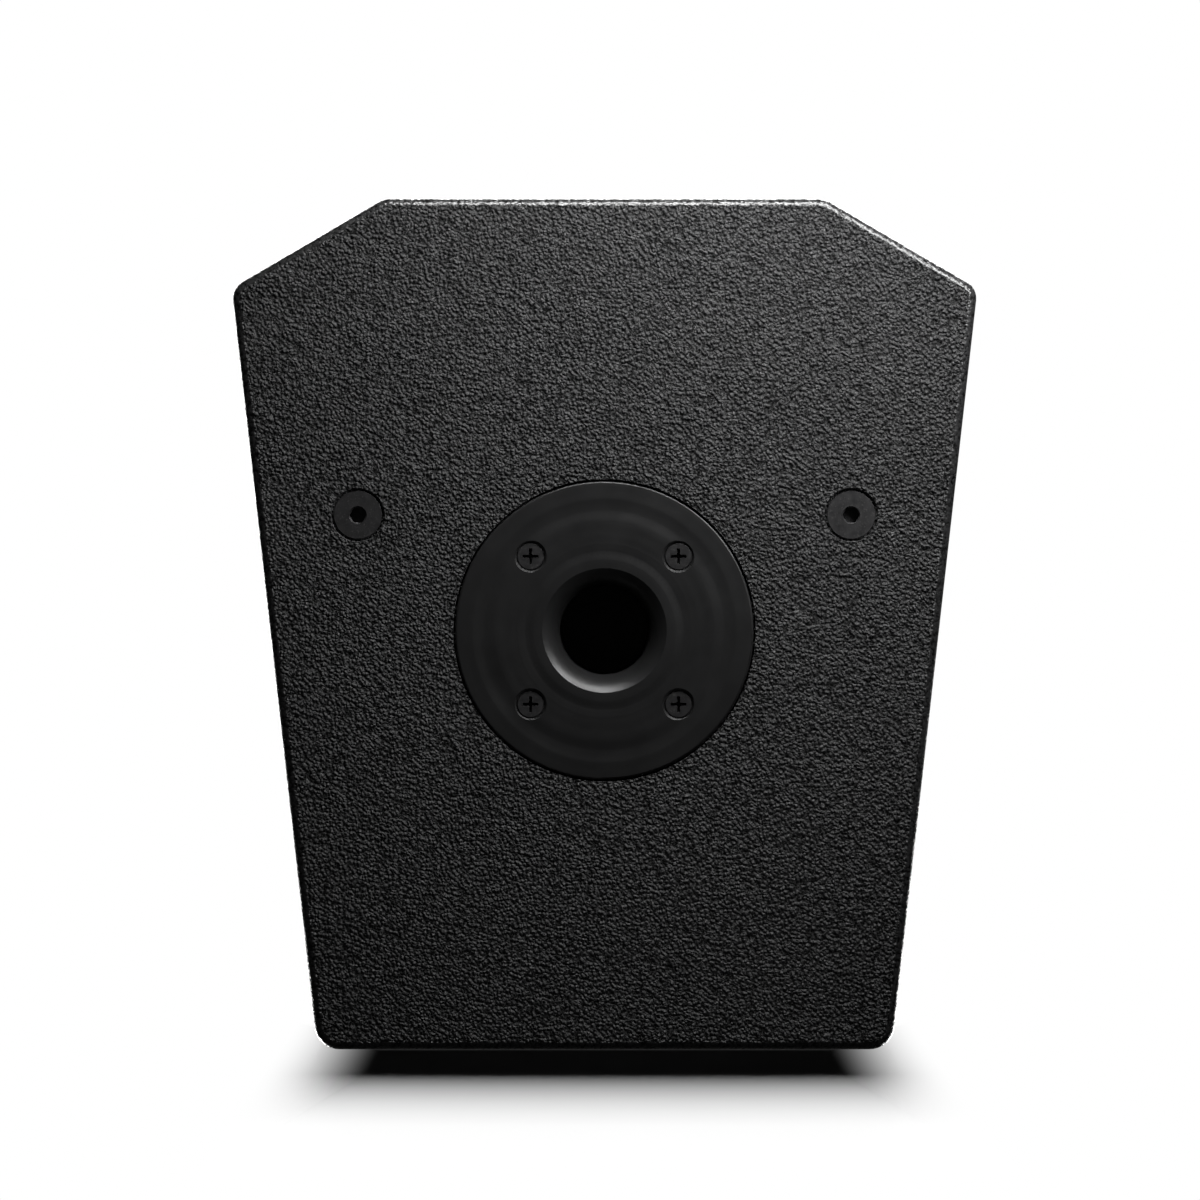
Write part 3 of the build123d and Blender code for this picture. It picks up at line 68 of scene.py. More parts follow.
# --- Node-material helpers -------------------------------------------------------------------------------
class Look:
    """A node material being built: every method adds a node and returns its output socket."""

    def __init__(self, name):
        self.material = bpy.data.materials.new(name)
        self.material.use_nodes = True
        self.tree = self.material.node_tree
        self.shader = self.tree.nodes["Principled BSDF"]
        self.place = self.node("ShaderNodeTexCoord").outputs["Object"]

    def node(self, kind, **settings):
        made = self.tree.nodes.new(kind)
        for name, value in settings.items():
            setattr(made, name, value)
        return made

    def feed(self, socket, value):
        if isinstance(value, bpy.types.NodeSocket):
            self.tree.links.new(value, socket)
        else:
            socket.default_value = value

    def maths(self, operation, a, b=0.0):
        made = self.node("ShaderNodeMath", operation=operation)
        self.feed(made.inputs[0], a)
        self.feed(made.inputs[1], b)
        return made.outputs[0]

    def scaled(self, amounts, place=None):
        made = self.node("ShaderNodeVectorMath", operation="MULTIPLY")
        self.feed(made.inputs[0], place or self.place)
        made.inputs[1].default_value = amounts
        return made.outputs[0]

    def shifted(self, amounts, place=None):
        made = self.node("ShaderNodeVectorMath", operation="SUBTRACT")
        self.feed(made.inputs[0], place or self.place)
        made.inputs[1].default_value = amounts
        return made.outputs[0]

    def length(self, vector):
        made = self.node("ShaderNodeVectorMath", operation="LENGTH")
        self.feed(made.inputs[0], vector)
        return made.outputs["Value"]

    def part_of(self, axis, place=None):
        made = self.node("ShaderNodeSeparateXYZ")
        self.feed(made.inputs[0], place or self.place)
        return made.outputs[axis]

    def noise(self, size, detail=2.0, roughness=0.5, place=None):
        """Noise whose blobs are about this many metres across."""
        made = self.node("ShaderNodeTexNoise")
        self.feed(made.inputs["Vector"], place or self.place)
        made.inputs["Scale"].default_value = 1 / size
        made.inputs["Detail"].default_value = detail
        made.inputs["Roughness"].default_value = roughness
        return made.outputs["Fac"]

    def cells(self, size, smooth=0.0, place=None):
        """Distance from the middle of cells about this many metres across."""
        feature = "SMOOTH_F1" if smooth else "F1"
        made = self.node("ShaderNodeTexVoronoi", feature=feature)
        self.feed(made.inputs["Vector"], place or self.place)
        made.inputs["Scale"].default_value = 1 / size
        if smooth:
            made.inputs["Smoothness"].default_value = smooth
        return made.outputs["Distance"]

    def warped(self, size, reach, place=None):
        """The place, pushed about by noise of this size, by up to about reach."""
        push = self.node("ShaderNodeTexNoise")
        self.feed(push.inputs["Vector"], place or self.place)
        push.inputs["Scale"].default_value = 1 / size
        centred = self.shifted((0.5, 0.5, 0.5), push.outputs["Color"])
        moved = self.node("ShaderNodeVectorMath", operation="ADD")
        self.feed(moved.inputs[0], place or self.place)
        self.feed(moved.inputs[1], self.scaled((reach, reach, reach), centred))
        return moved.outputs[0]

    def waves(self, value, pitch):
        """-1 to 1, once per pitch of value."""
        return self.maths("SINE", self.maths("MULTIPLY", value, 2 * math.pi / pitch))

    def spread(self, value, low, high, to_low, to_high, smooth=False):
        kind = "SMOOTHSTEP" if smooth else "LINEAR"
        made = self.node("ShaderNodeMapRange", interpolation_type=kind, clamp=True)
        self.feed(made.inputs["Value"], value)
        names = ("From Min", "From Max", "To Min", "To Max")
        for name, amount in zip(names, (low, high, to_low, to_high)):
            made.inputs[name].default_value = amount
        return made.outputs["Result"]

    def tint(self, factor, first, second):
        made = self.node("ShaderNodeMix", data_type="RGBA")
        self.feed(made.inputs["Factor"], factor)
        colour_a, colour_b, colour_out = 6, 7, 2  # the sockets of this node that carry colours
        for place, tone in ((colour_a, first), (colour_b, second)):
            self.feed(made.inputs[place], tone if isinstance(tone, bpy.types.NodeSocket) else (*tone, 1))
        return made.outputs[colour_out]

    def radius(self, x, z):
        """Distance from the front-to-back line at x, z."""
        return self.length(self.scaled((1, 0, 1), self.shifted((x, 0, z))))

    def turn(self, x, z):
        """Angle about the front-to-back line at x, z."""
        moved = self.shifted((x, 0, z))
        return self.maths("ARCTAN2", self.part_of("Z", moved), self.part_of("X", moved))

    def bump(self, height, distance, strength=1.0, under=None):
        made = self.node("ShaderNodeBump")
        made.inputs["Strength"].default_value = strength
        made.inputs["Distance"].default_value = distance
        self.feed(made.inputs["Height"], height)
        if under is not None:
            self.feed(made.inputs["Normal"], under)
        self.feed(self.shader.inputs["Normal"], made.outputs["Normal"])
        return made.outputs["Normal"]

    def colour(self, value):
        self.feed(self.shader.inputs["Base Color"], value)

    def set(self, **values):
        names = {"specular": "Specular IOR Level", "sheen": "Sheen Weight", "coat": "Coat Weight"}
        for name, value in values.items():
            self.feed(self.shader.inputs[names.get(name, name.replace("_", " ").title())], value)


# --- Materials -------------------------------------------------------------------------------------------
def structured_paint(name):
    """Textured coating sprayed on the plywood: merged nubs about 1.5 mm across, with a satin skin.

    It runs thin and smooth over edges rounded between a level face and an upright one.
    """
    look = Look(name)
    place = look.warped(2.2 * MM, 0.9 * MM)
    nubs = look.spread(look.cells(1.5 * MM, 0.25, place), 0.12, 0.75, 1, 0, smooth=True)
    lumps = look.noise(1.0 * MM, 2.2, 0.6)
    swell = look.noise(5 * MM, 2)
    fine = look.noise(0.4 * MM, 1)
    height = look.maths("ADD", nubs, look.maths("MULTIPLY", lumps, 1.3))
    height = look.maths("ADD", height, look.maths("MULTIPLY", swell, 0.6))
    # 0 in the relief's valleys, where shade is painted into the colour and specular below.
    pits = look.spread(height, 0.8, 1.25, 0, 1, smooth=True)
    height = look.maths("ADD", height, look.maths("MULTIPLY", fine, 0.12))
    facing = look.node("ShaderNodeNewGeometry").outputs["Normal"]
    upright = look.maths("ABSOLUTE", look.part_of("Z", facing))
    off_flat = look.spread(upright, 0.999, 0.96, 0, 1, smooth=True)
    off_side = look.spread(upright, 0.01, 0.12, 0, 1, smooth=True)
    rounding = look.maths("MULTIPLY", off_flat, off_side)
    relief = look.maths("MULTIPLY", height, look.spread(rounding, 0, 1, 1, 0.1))
    look.bump(relief, 1.15 * MM)
    patches = look.noise(45 * MM, 3)
    # Painted shade: where the relief is lowest the colour goes near-black, standing in for shade in the
    # valleys.
    valley_shaded = look.tint(pits, (0.0015, 0.0015, 0.0016), (0.019, 0.019, 0.0195))
    look.colour(look.tint(look.spread(patches, 0.35, 0.7, 0, 0.3), valley_shaded, (0.022, 0.0215, 0.021)))
    satin = look.spread(look.noise(9 * MM, 3), 0.3, 0.7, 0.34, 0.46)
    look.set(roughness=look.maths("MULTIPLY", satin, look.spread(rounding, 0, 1, 1, 0.7)))
    # Painted shade too: the lowest parts of the relief get a weaker specular.
    look.set(specular=look.spread(pits, 0, 1, 0.12, 0.55))
    return look.material


def moulded_plastic(name, tone=0.0135, rough=0.36, grain=0.25 * MM, depth=0.012 * MM, rings=None):
    """Injection-moulded black plastic: a fine skin and faint flow clouds.

    With rings, a point, it also has faint rings round the upright line through that point.
    """
    look = Look(name)
    clouds = look.noise(18 * MM, 4, 0.6)
    dust = look.noise(1.2 * MM, 3, 0.7)
    dark, light = [tone * k for k in (0.85, 0.85, 0.87)], [tone * k for k in (1.2, 1.2, 1.22)]
    look.colour(look.tint(clouds, dark, light))
    smudge = look.maths("ADD", clouds, look.maths("MULTIPLY", dust, 0.5))
    look.set(roughness=look.spread(smudge, 0.4, 1.1, rough - 0.05, rough + 0.08))
    under = look.bump(look.noise(grain, 2), depth)
    if rings:
        reach = look.length(look.scaled((1, 1, 0), look.shifted(rings)))
        ripple = look.maths("MULTIPLY", look.waves(reach, 5.2 * MM), look.noise(14 * MM, 2))
        look.bump(look.maths("ADD", ripple, look.waves(reach, 13 * MM)), 0.035 * MM, under=under)
    return look.material


def dark_steel(name):
    """Black-oxide steel: thin patchy black with brighter rubbed spots and hairline scratches."""
    look = Look(name)
    patches = look.noise(2.5 * MM, 4, 0.65)
    rubbed = look.noise(0.8 * MM, 3, 0.7)
    scratch = look.noise(0.5 * MM, 2, place=look.scaled((1, 0.06, 1), look.warped(9 * MM, 2 * MM)))
    base = look.tint(patches, (0.022, 0.022, 0.023), (0.05, 0.049, 0.05))
    look.colour(look.tint(look.spread(rubbed, 0.58, 0.74, 0, 0.6), base, (0.14, 0.137, 0.132)))
    look.set(metallic=0.6, roughness=look.spread(patches, 0.3, 0.7, 0.34, 0.5))
    look.bump(look.maths("ADD", rubbed, scratch), 0.03 * MM)
    return look.material


def bright_steel(name, tone=(0.60, 0.61, 0.63)):
    """Zinc plate: fine drawn lines and cloudy passivation."""
    look = Look(name)
    clouds = look.noise(7 * MM, 4, 0.6)
    drawn = look.noise(0.25 * MM, 2, place=look.scaled((1, 0.08, 1)))
    look.colour(look.tint(clouds, [k * 0.8 for k in tone], tone))
    look.set(metallic=1.0, roughness=look.spread(look.maths("ADD", clouds, drawn), 0.6, 1.4, 0.24, 0.42))
    look.bump(drawn, 0.02 * MM)
    return look.material


def powder_coat(name):
    """Black powder coat on the grille: a tight orange peel, thinner and greyer on its high spots."""
    look = Look(name)
    peel = look.noise(0.7 * MM, 2)
    clouds = look.noise(30 * MM, 3)
    thin = look.maths("MULTIPLY", peel, clouds)
    look.colour(look.tint(thin, (0.009, 0.009, 0.0095), (0.034, 0.034, 0.034)))
    look.set(roughness=look.spread(clouds, 0.3, 0.7, 0.38, 0.5))
    look.bump(look.maths("ADD", peel, look.noise(0.2 * MM, 1)), 0.05 * MM)
    return look.material


def cast_metal(name):
    """Black paint over a sand-cast basket."""
    look = Look(name)
    sand = look.cells(0.8 * MM, 0.5, look.warped(1.5 * MM, 0.6 * MM))
    clouds = look.noise(25 * MM, 4)
    look.colour(look.tint(clouds, (0.014, 0.014, 0.015), (0.035, 0.035, 0.036)))
    look.set(metallic=0.3, roughness=look.spread(clouds, 0.3, 0.7, 0.42, 0.6))
    look.bump(look.maths("ADD", sand, look.noise(0.4 * MM, 2)), 0.08 * MM)
    return look.material


def paper(name):
    """Pressed paper pulp: felted fibres, faint pressing rings and a slight sheen from the coating."""
    look = Look(name)
    woofer = centre("woofer_cone")
    fibres = look.noise(0.9 * MM, 5, 0.75, look.warped(3 * MM, 2 * MM))
    tufts = look.noise(6 * MM, 4, 0.6)
    rings = look.waves(look.radius(woofer.x, woofer.z), 4.5 * MM)
    felt = look.maths("MULTIPLY", fibres, tufts)
    look.colour(look.tint(felt, (0.012, 0.0115, 0.011), (0.075, 0.072, 0.068)))
    look.set(roughness=look.spread(fibres, 0.3, 0.7, 0.62, 0.82), sheen=0.15)
    under = look.bump(fibres, 0.12 * MM)
    look.bump(rings, 0.05 * MM, under=under)
    return look.material


def woven(name, tone, thread, sheen=0.3, rough=0.75):
    """Doped cloth facing the front: threads across and up, with cloudy doping."""
    look = Look(name)
    weft = look.waves(look.part_of("X"), thread)
    warp = look.waves(look.part_of("Z"), thread)
    weave = look.maths("MAXIMUM", weft, warp)
    clouds = look.noise(8 * MM, 4)
    threads = look.maths("MULTIPLY", weave, clouds)
    look.colour(look.tint(threads, [k * 0.55 for k in tone], [k * 1.25 for k in tone]))
    look.set(roughness=look.spread(clouds, 0.3, 0.7, rough - 0.1, rough + 0.1), sheen=sheen)
    look.bump(look.maths("ADD", weave, look.noise(0.3 * MM, 2)), 0.08 * MM)
    return look.material


def wound_coil(name):
    """Former of glass cloth with copper wound on its rear end."""
    look = Look(name)
    along = look.part_of("Y")
    winding = 14 * MM
    front_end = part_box("woofer_voice_coil")[1][1] - winding
    on_winding = look.spread(along, front_end - 0.2 * MM, front_end + 0.2 * MM, 0, 1)
    turns = look.waves(along, 0.32 * MM)
    glass = look.tint(look.noise(1.5 * MM, 3), (0.22, 0.17, 0.10), (0.34, 0.28, 0.18))
    copper = look.tint(turns, (0.30, 0.10, 0.035), (0.72, 0.33, 0.16))
    look.colour(look.tint(on_winding, glass, copper))
    look.set(metallic=look.spread(on_winding, 0, 1, 0, 0.9), roughness=look.spread(turns, -1, 1, 0.5, 0.3))
    look.bump(turns, 0.08 * MM)
    return look.material


def ferrite(name):
    """Sintered ferrite: dull charcoal with ground faces and small chips."""
    look = Look(name)
    speckle = look.noise(0.6 * MM, 4, 0.7)
    chips = look.spread(look.cells(7 * MM), 0.0, 0.16, 0, 1, smooth=True)
    charcoal = look.maths("MULTIPLY", speckle, chips)
    look.colour(look.tint(charcoal, (0.018, 0.018, 0.019), (0.085, 0.084, 0.085)))
    look.set(roughness=look.spread(speckle, 0.3, 0.7, 0.5, 0.7))
    look.bump(look.maths("ADD", speckle, look.maths("MULTIPLY", chips, 2)), 0.08 * MM)
    return look.material


def turned_steel(name):
    """Passivated steel with the lathe's rings."""
    look = Look(name)
    rings = look.waves(look.radius(0, centre("woofer_magnet").z), 0.7 * MM)
    clouds = look.noise(10 * MM, 4)
    look.colour(look.tint(clouds, (0.36, 0.355, 0.33), (0.55, 0.55, 0.56)))
    look.set(metallic=1.0, roughness=look.spread(clouds, 0.3, 0.7, 0.26, 0.42))
    look.bump(rings, 0.02 * MM)
    return look.material


def titanium(name):
    """Foil dome: pressed radial ribs and a grey satin surface."""
    look = Look(name)
    axis, rib_count = centre("hf_diaphragm"), 36
    ribs = look.waves(look.turn(axis.x, axis.z), 2 * math.pi / rib_count)
    clouds = look.noise(3 * MM, 4)
    look.colour(look.tint(clouds, (0.33, 0.33, 0.34), (0.48, 0.47, 0.46)))
    look.set(metallic=1.0, roughness=look.spread(clouds, 0.3, 0.7, 0.28, 0.4))
    look.bump(ribs, 0.06 * MM)
    return look.material


def foam(name):
    """Closed-cell black foam strip."""
    look = Look(name)
    pores = look.cells(0.5 * MM, 0.2)
    look.colour(look.tint(pores, (0.006, 0.006, 0.006), (0.034, 0.034, 0.033)))
    look.set(roughness=look.spread(pores, 0, 0.8, 0.95, 0.75))
    look.bump(pores, 0.2 * MM)
    return look.material


def rubber(name):
    """Grip rubber: fine ribs along the sleeve and a dusty matt skin."""
    look = Look(name)
    ribs = look.waves(look.part_of("Y"), 3.2 * MM)
    dust = look.noise(4 * MM, 5, 0.7)
    look.colour(look.tint(look.spread(dust, 0.45, 0.75, 0, 1), (0.012, 0.012, 0.012), (0.034, 0.033, 0.032)))
    look.set(roughness=look.spread(dust, 0.3, 0.7, 0.55, 0.8))
    under = look.bump(look.noise(0.35 * MM, 2), 0.04 * MM)
    look.bump(look.spread(ribs, -0.2, 0.9, 0, 1, smooth=True), 0.5 * MM, under=under)
    return look.material


def circuit_board(name):
    """Green lacquer over glass weave, with broad copper areas showing faintly through."""
    look = Look(name)
    blocks = look.spread(look.cells(17 * MM, place=look.scaled((1, 0, 1.4))), 0.3, 0.34, 0, 1)
    weft, warp = (look.waves(look.part_of(axis), 0.6 * MM) for axis in "XZ")
    weave = look.maths("MAXIMUM", weft, warp)
    look.colour(look.tint(blocks, (0.010, 0.055, 0.020), (0.022, 0.105, 0.040)))
    look.set(roughness=look.spread(look.noise(8 * MM, 3), 0.3, 0.7, 0.2, 0.34), coat=0.3)
    look.bump(look.maths("ADD", weave, look.maths("MULTIPLY", blocks, 3)), 0.015 * MM)
    return look.material


def copper_wire(name):
    """Layers of enamelled wire wound on a core."""
    look = Look(name)
    turns = look.waves(look.part_of("Y"), 0.9 * MM)
    clouds = look.noise(4 * MM, 3)
    look.colour(look.tint(turns, (0.24, 0.07, 0.025), (0.70, 0.30, 0.13)))
    look.set(metallic=0.85, roughness=look.spread(clouds, 0.3, 0.7, 0.22, 0.38), coat=0.4)
    look.bump(turns, 0.25 * MM)
    return look.material


def film_capacitor(name):
    """Yellow tape wrapped round a film roll, with matt resin at its ends."""
    look = Look(name)
    low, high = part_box("crossover_capacitors")
    along = look.part_of("X")
    wrap = look.noise(5 * MM, 3, place=look.scaled((0.3, 1, 1)))
    middle, half = (low[0] + high[0]) / 2, (high[0] - low[0]) / 2
    off_middle = look.maths("ABSOLUTE", look.maths("SUBTRACT", along, middle))
    at_end = look.spread(off_middle, half - 1.2 * MM, half, 0, 1)
    tape = look.tint(wrap, (0.42, 0.29, 0.03), (0.62, 0.46, 0.07))
    look.colour(look.tint(at_end, tape, (0.20, 0.14, 0.06)))
    look.set(roughness=look.spread(at_end, 0, 1, 0.24, 0.7))
    look.bump(look.maths("ADD", wrap, look.waves(along, 11 * MM)), 0.1 * MM)
    return look.material


def cement(name):
    """White cement resistor body, sandy with a few pits."""
    look = Look(name)
    sand = look.noise(0.4 * MM, 4, 0.7)
    pits = look.spread(look.cells(2.5 * MM), 0.02, 0.14, 0, 1)
    look.colour(look.tint(look.maths("MULTIPLY", sand, pits), (0.40, 0.38, 0.34), (0.86, 0.84, 0.78)))
    look.set(roughness=look.spread(sand, 0.3, 0.7, 0.75, 0.92))
    look.bump(look.maths("ADD", sand, pits), 0.12 * MM)
    return look.material


def tinned_brass(name):
    """Stamped tabs: brass showing through worn tin."""
    look = Look(name)
    worn = look.spread(look.noise(1.1 * MM, 4, 0.7), 0.45, 0.6, 0, 1)
    look.colour(look.tint(worn, (0.62, 0.60, 0.55), (0.66, 0.47, 0.20)))
    look.set(metallic=1.0, roughness=look.spread(worn, 0, 1, 0.3, 0.42))
    look.bump(look.noise(0.4 * MM, 2), 0.02 * MM)
    return look.material


def fibre_wadding(name):
    """Bonded polyester fibres: white, tangled and soft."""
    look = Look(name)
    tangle = look.noise(1.6 * MM, 6, 0.8, look.warped(9 * MM, 8 * MM))
    tufts = look.noise(15 * MM, 4)
    look.colour(look.tint(look.maths("MULTIPLY", tangle, tufts), (0.50, 0.49, 0.47), (0.90, 0.90, 0.88)))
    look.set(roughness=look.spread(tangle, 0.3, 0.7, 0.85, 1.0), sheen=0.5)
    look.bump(look.maths("ADD", tangle, tufts), 1.5 * MM)
    return look.material


def cable_sheath(name):
    """Soft cable sheath over two twisted cores, dulled by handling."""
    look = Look(name)
    lay = look.waves(look.maths("ADD", look.part_of("Y"), look.part_of("Z")), 16 * MM)
    dust = look.noise(3 * MM, 4)
    look.colour(look.tint(dust, (0.16, 0.010, 0.010), (0.30, 0.025, 0.022)))
    look.set(roughness=look.spread(dust, 0.3, 0.7, 0.42, 0.6))
    look.bump(look.maths("ADD", lay, dust), 0.15 * MM)
    return look.material


def bare_wood(name, light, dark):
    """Planed wood: rings and pores stretched along Z."""
    look = Look(name)
    stretched = look.scaled((1, 1, 0.05), look.warped(40 * MM, 9 * MM))
    rings = look.waves(look.maths("MULTIPLY", look.noise(30 * MM, 3, place=stretched), 0.02), 1.3 * MM)
    pores = look.noise(0.5 * MM, 3, place=look.scaled((1, 1, 0.04)))
    grain = look.maths("ADD", look.maths("MULTIPLY", rings, 0.3), pores)
    look.colour(look.tint(look.spread(grain, 0.1, 0.9, 0, 1), dark, light))
    look.set(roughness=look.spread(pores, 0.3, 0.7, 0.55, 0.72))
    look.bump(grain, 0.08 * MM)
    return look.material


def centre(node):
    """The middle of a CAD node's box."""
    low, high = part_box(node)
    return (Vector(low) + Vector(high)) / 2


def make_materials():
    socket = centre("pole_socket")
    return {
        "painted_ply": structured_paint("painted_ply"),
        "pine": bare_wood("pine", (0.70, 0.52, 0.31), (0.48, 0.30, 0.15)),
        "grille_steel": powder_coat("grille_steel"),
        "black_screw": dark_steel("black_screw"),
        "zinc_steel": bright_steel("zinc_steel"),
        "black_abs": moulded_plastic("black_abs"),
        "horn_abs": moulded_plastic("horn_abs", tone=0.016, rough=0.5, grain=0.5 * MM, depth=0.05 * MM),
        "basket": cast_metal("basket"),
        "paper_cone": paper("paper_cone"),
        "cloth_surround": woven("cloth_surround", (0.026, 0.025, 0.025), 0.8 * MM),
        "spider_cloth": woven("spider_cloth", (0.50, 0.30, 0.09), 1.0 * MM),
        "coil": wound_coil("coil"),
        "ferrite": ferrite("ferrite"),
        "motor_steel": turned_steel("motor_steel"),
        "titanium": titanium("titanium"),
        "gasket_foam": foam("gasket_foam"),
        "rubber": rubber("rubber"),
        "board": circuit_board("board"),
        "copper": copper_wire("copper"),
        "capacitor": film_capacitor("capacitor"),
        "resistor": cement("resistor"),
        "brass": tinned_brass("brass"),
        "socket_plastic": moulded_plastic("socket_plastic", tone=0.018, rough=0.26, depth=0.02 * MM),
        "wadding": fibre_wadding("wadding"),
        "wire": cable_sheath("wire"),
        "socket_swirl": moulded_plastic("socket_swirl", tone=0.0095, rings=(socket.x, socket.y, 0)),
    }


MATERIALS = make_materials()


def wear(piece, material):
    piece.data.materials.clear()
    piece.data.materials.append(MATERIALS[material])


for entry in RECORD["subparts"]:
    wear(NODES[entry["node"]], entry["material_slot"])
wear(NODES["pole_socket"], "socket_swirl")


# --- Mesh helpers ----------------------------------------------------------------------------------------
def new_piece(name, points, faces, body, material, smooth_angle=35):
    """A mesh in its material, smooth over edges that turn less than this angle. It rides on body, if any."""
    mesh = bpy.data.meshes.new(name)
    mesh.from_pydata([tuple(p) for p in points], [], faces)
    mesh.validate()
    mesh.shade_smooth()
    mesh.set_sharp_from_angle(angle=math.radians(smooth_angle))
    piece = bpy.data.objects.new(name, mesh)
    bpy.context.scene.collection.objects.link(piece)
    wear(piece, material)
    if body:
        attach(piece, body)
    return piece


# --- The plan's outline, as the CAD has it ----------------------------------------------------------------
plan_low, plan_high = (Vector(c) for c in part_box("bottom_panel"))
WIDTH, REAR_WIDTH, FRONT_FLAT, BEVEL_DEPTH = 0.300, 0.231, 0.177, 0.036
FRONT_Y, REAR_Y = plan_low.y, plan_high.y
BEVEL_Y = FRONT_Y + BEVEL_DEPTH
SIDE_TILT = math.atan2((WIDTH - REAR_WIDTH) / 2, REAR_Y - BEVEL_Y)
BEVEL_TILT = math.atan2(BEVEL_DEPTH, (WIDTH - FRONT_FLAT) / 2)
WALL = 0.015


def side_x(y, inset):
    """The right side's x at this y, moved in by inset."""
    return WIDTH / 2 - inset / math.cos(SIDE_TILT) - (y - BEVEL_Y) * math.tan(SIDE_TILT)


def bend(front):
    """Where the front's flat meets its right bevel, both moved in by this much."""
    shift = BEVEL_DEPTH + front / math.cos(BEVEL_TILT) - front
    return Vector((WIDTH / 2 - shift / math.tan(BEVEL_TILT), FRONT_Y + front))


def corner(front, side):
    """Where the right bevel, moved in by front, meets the right side, moved in by side."""
    across = side / math.cos(SIDE_TILT) + front * math.tan(SIDE_TILT) / math.cos(BEVEL_TILT)
    across /= 1 + math.tan(SIDE_TILT) * math.tan(BEVEL_TILT)
    y = BEVEL_Y - across * math.tan(BEVEL_TILT) + front / math.cos(BEVEL_TILT)
    return Vector((WIDTH / 2 - across, y))


# --- Perforated grille -----------------------------------------------------------------------------------
SHEET, GRILLE_SETBACK, GRILLE_SIDE, GRILLE_END = 0.0015, 0.004, 0.001, 0.0137
LIP_REACH = 0.0095
INNER_BEND_R, OUTER_BEND_R = 0.0033, 0.0023
HOLE_PITCH, HOLE_R = 0.0085, 0.0030
PLAIN_RIM, PLAIN_BEND = 0.008, 0.0025  # the least width left unpunched at the pan's ends and at its bends
ROW = HOLE_PITCH * math.sqrt(3) / 2


class Bent:
    """A line of straights joined by arcs, in plan, read by distance along it."""

    def __init__(self, corners, radii, steps=6):
        self.points = [corners[0]]
        self.straights = []
        for before, here, after, r in zip(corners, corners[1:], corners[2:], radii):
            back, ahead = (before - here).normalized(), (after - here).normalized()
            half = back.angle(ahead) / 2
            reach = r / math.tan(half)
            middle = here + (back + ahead).normalized() * r / math.sin(half)
            first, last = here + back * reach - middle, here + ahead * reach - middle
            self.straights.append((len(self.points) - 1, len(self.points)))
            for k in range(steps + 1):
                self.points.append(middle + first.slerp(last, k / steps).normalized() * r)
        self.straights.append((len(self.points) - 1, len(self.points)))
        self.points.append(corners[-1])
        self.places = [0.0]
        for a, b in zip(self.points, self.points[1:]):
            self.places.append(self.places[-1] + (b - a).length)

    def outward(self, k):
        """The mean of the outward normals of the runs that meet at a point."""
        normals = []
        for a, b in ((k - 1, k), (k, k + 1)):
            if 0 <= a and b < len(self.points):
                along = (self.points[b] - self.points[a]).normalized()
                normals.append(Vector((along.y, -along.x)))
        mean = sum(normals, Vector((0, 0))).normalized()
        return mean / mean.dot(normals[0])

    def at(self, distance, out):
        """The point this far along the line, and this far outward of it."""
        k, slack = 0, 1e-9
        while k < len(self.places) - 2 and distance > self.places[k + 1] + slack:
            k += 1
        part = (distance - self.places[k]) / (self.places[k + 1] - self.places[k])
        start = self.points[k] + self.outward(k) * out
        end = self.points[k + 1] + self.outward(k + 1) * out
        return start.lerp(end, min(max(part, 0), 1))


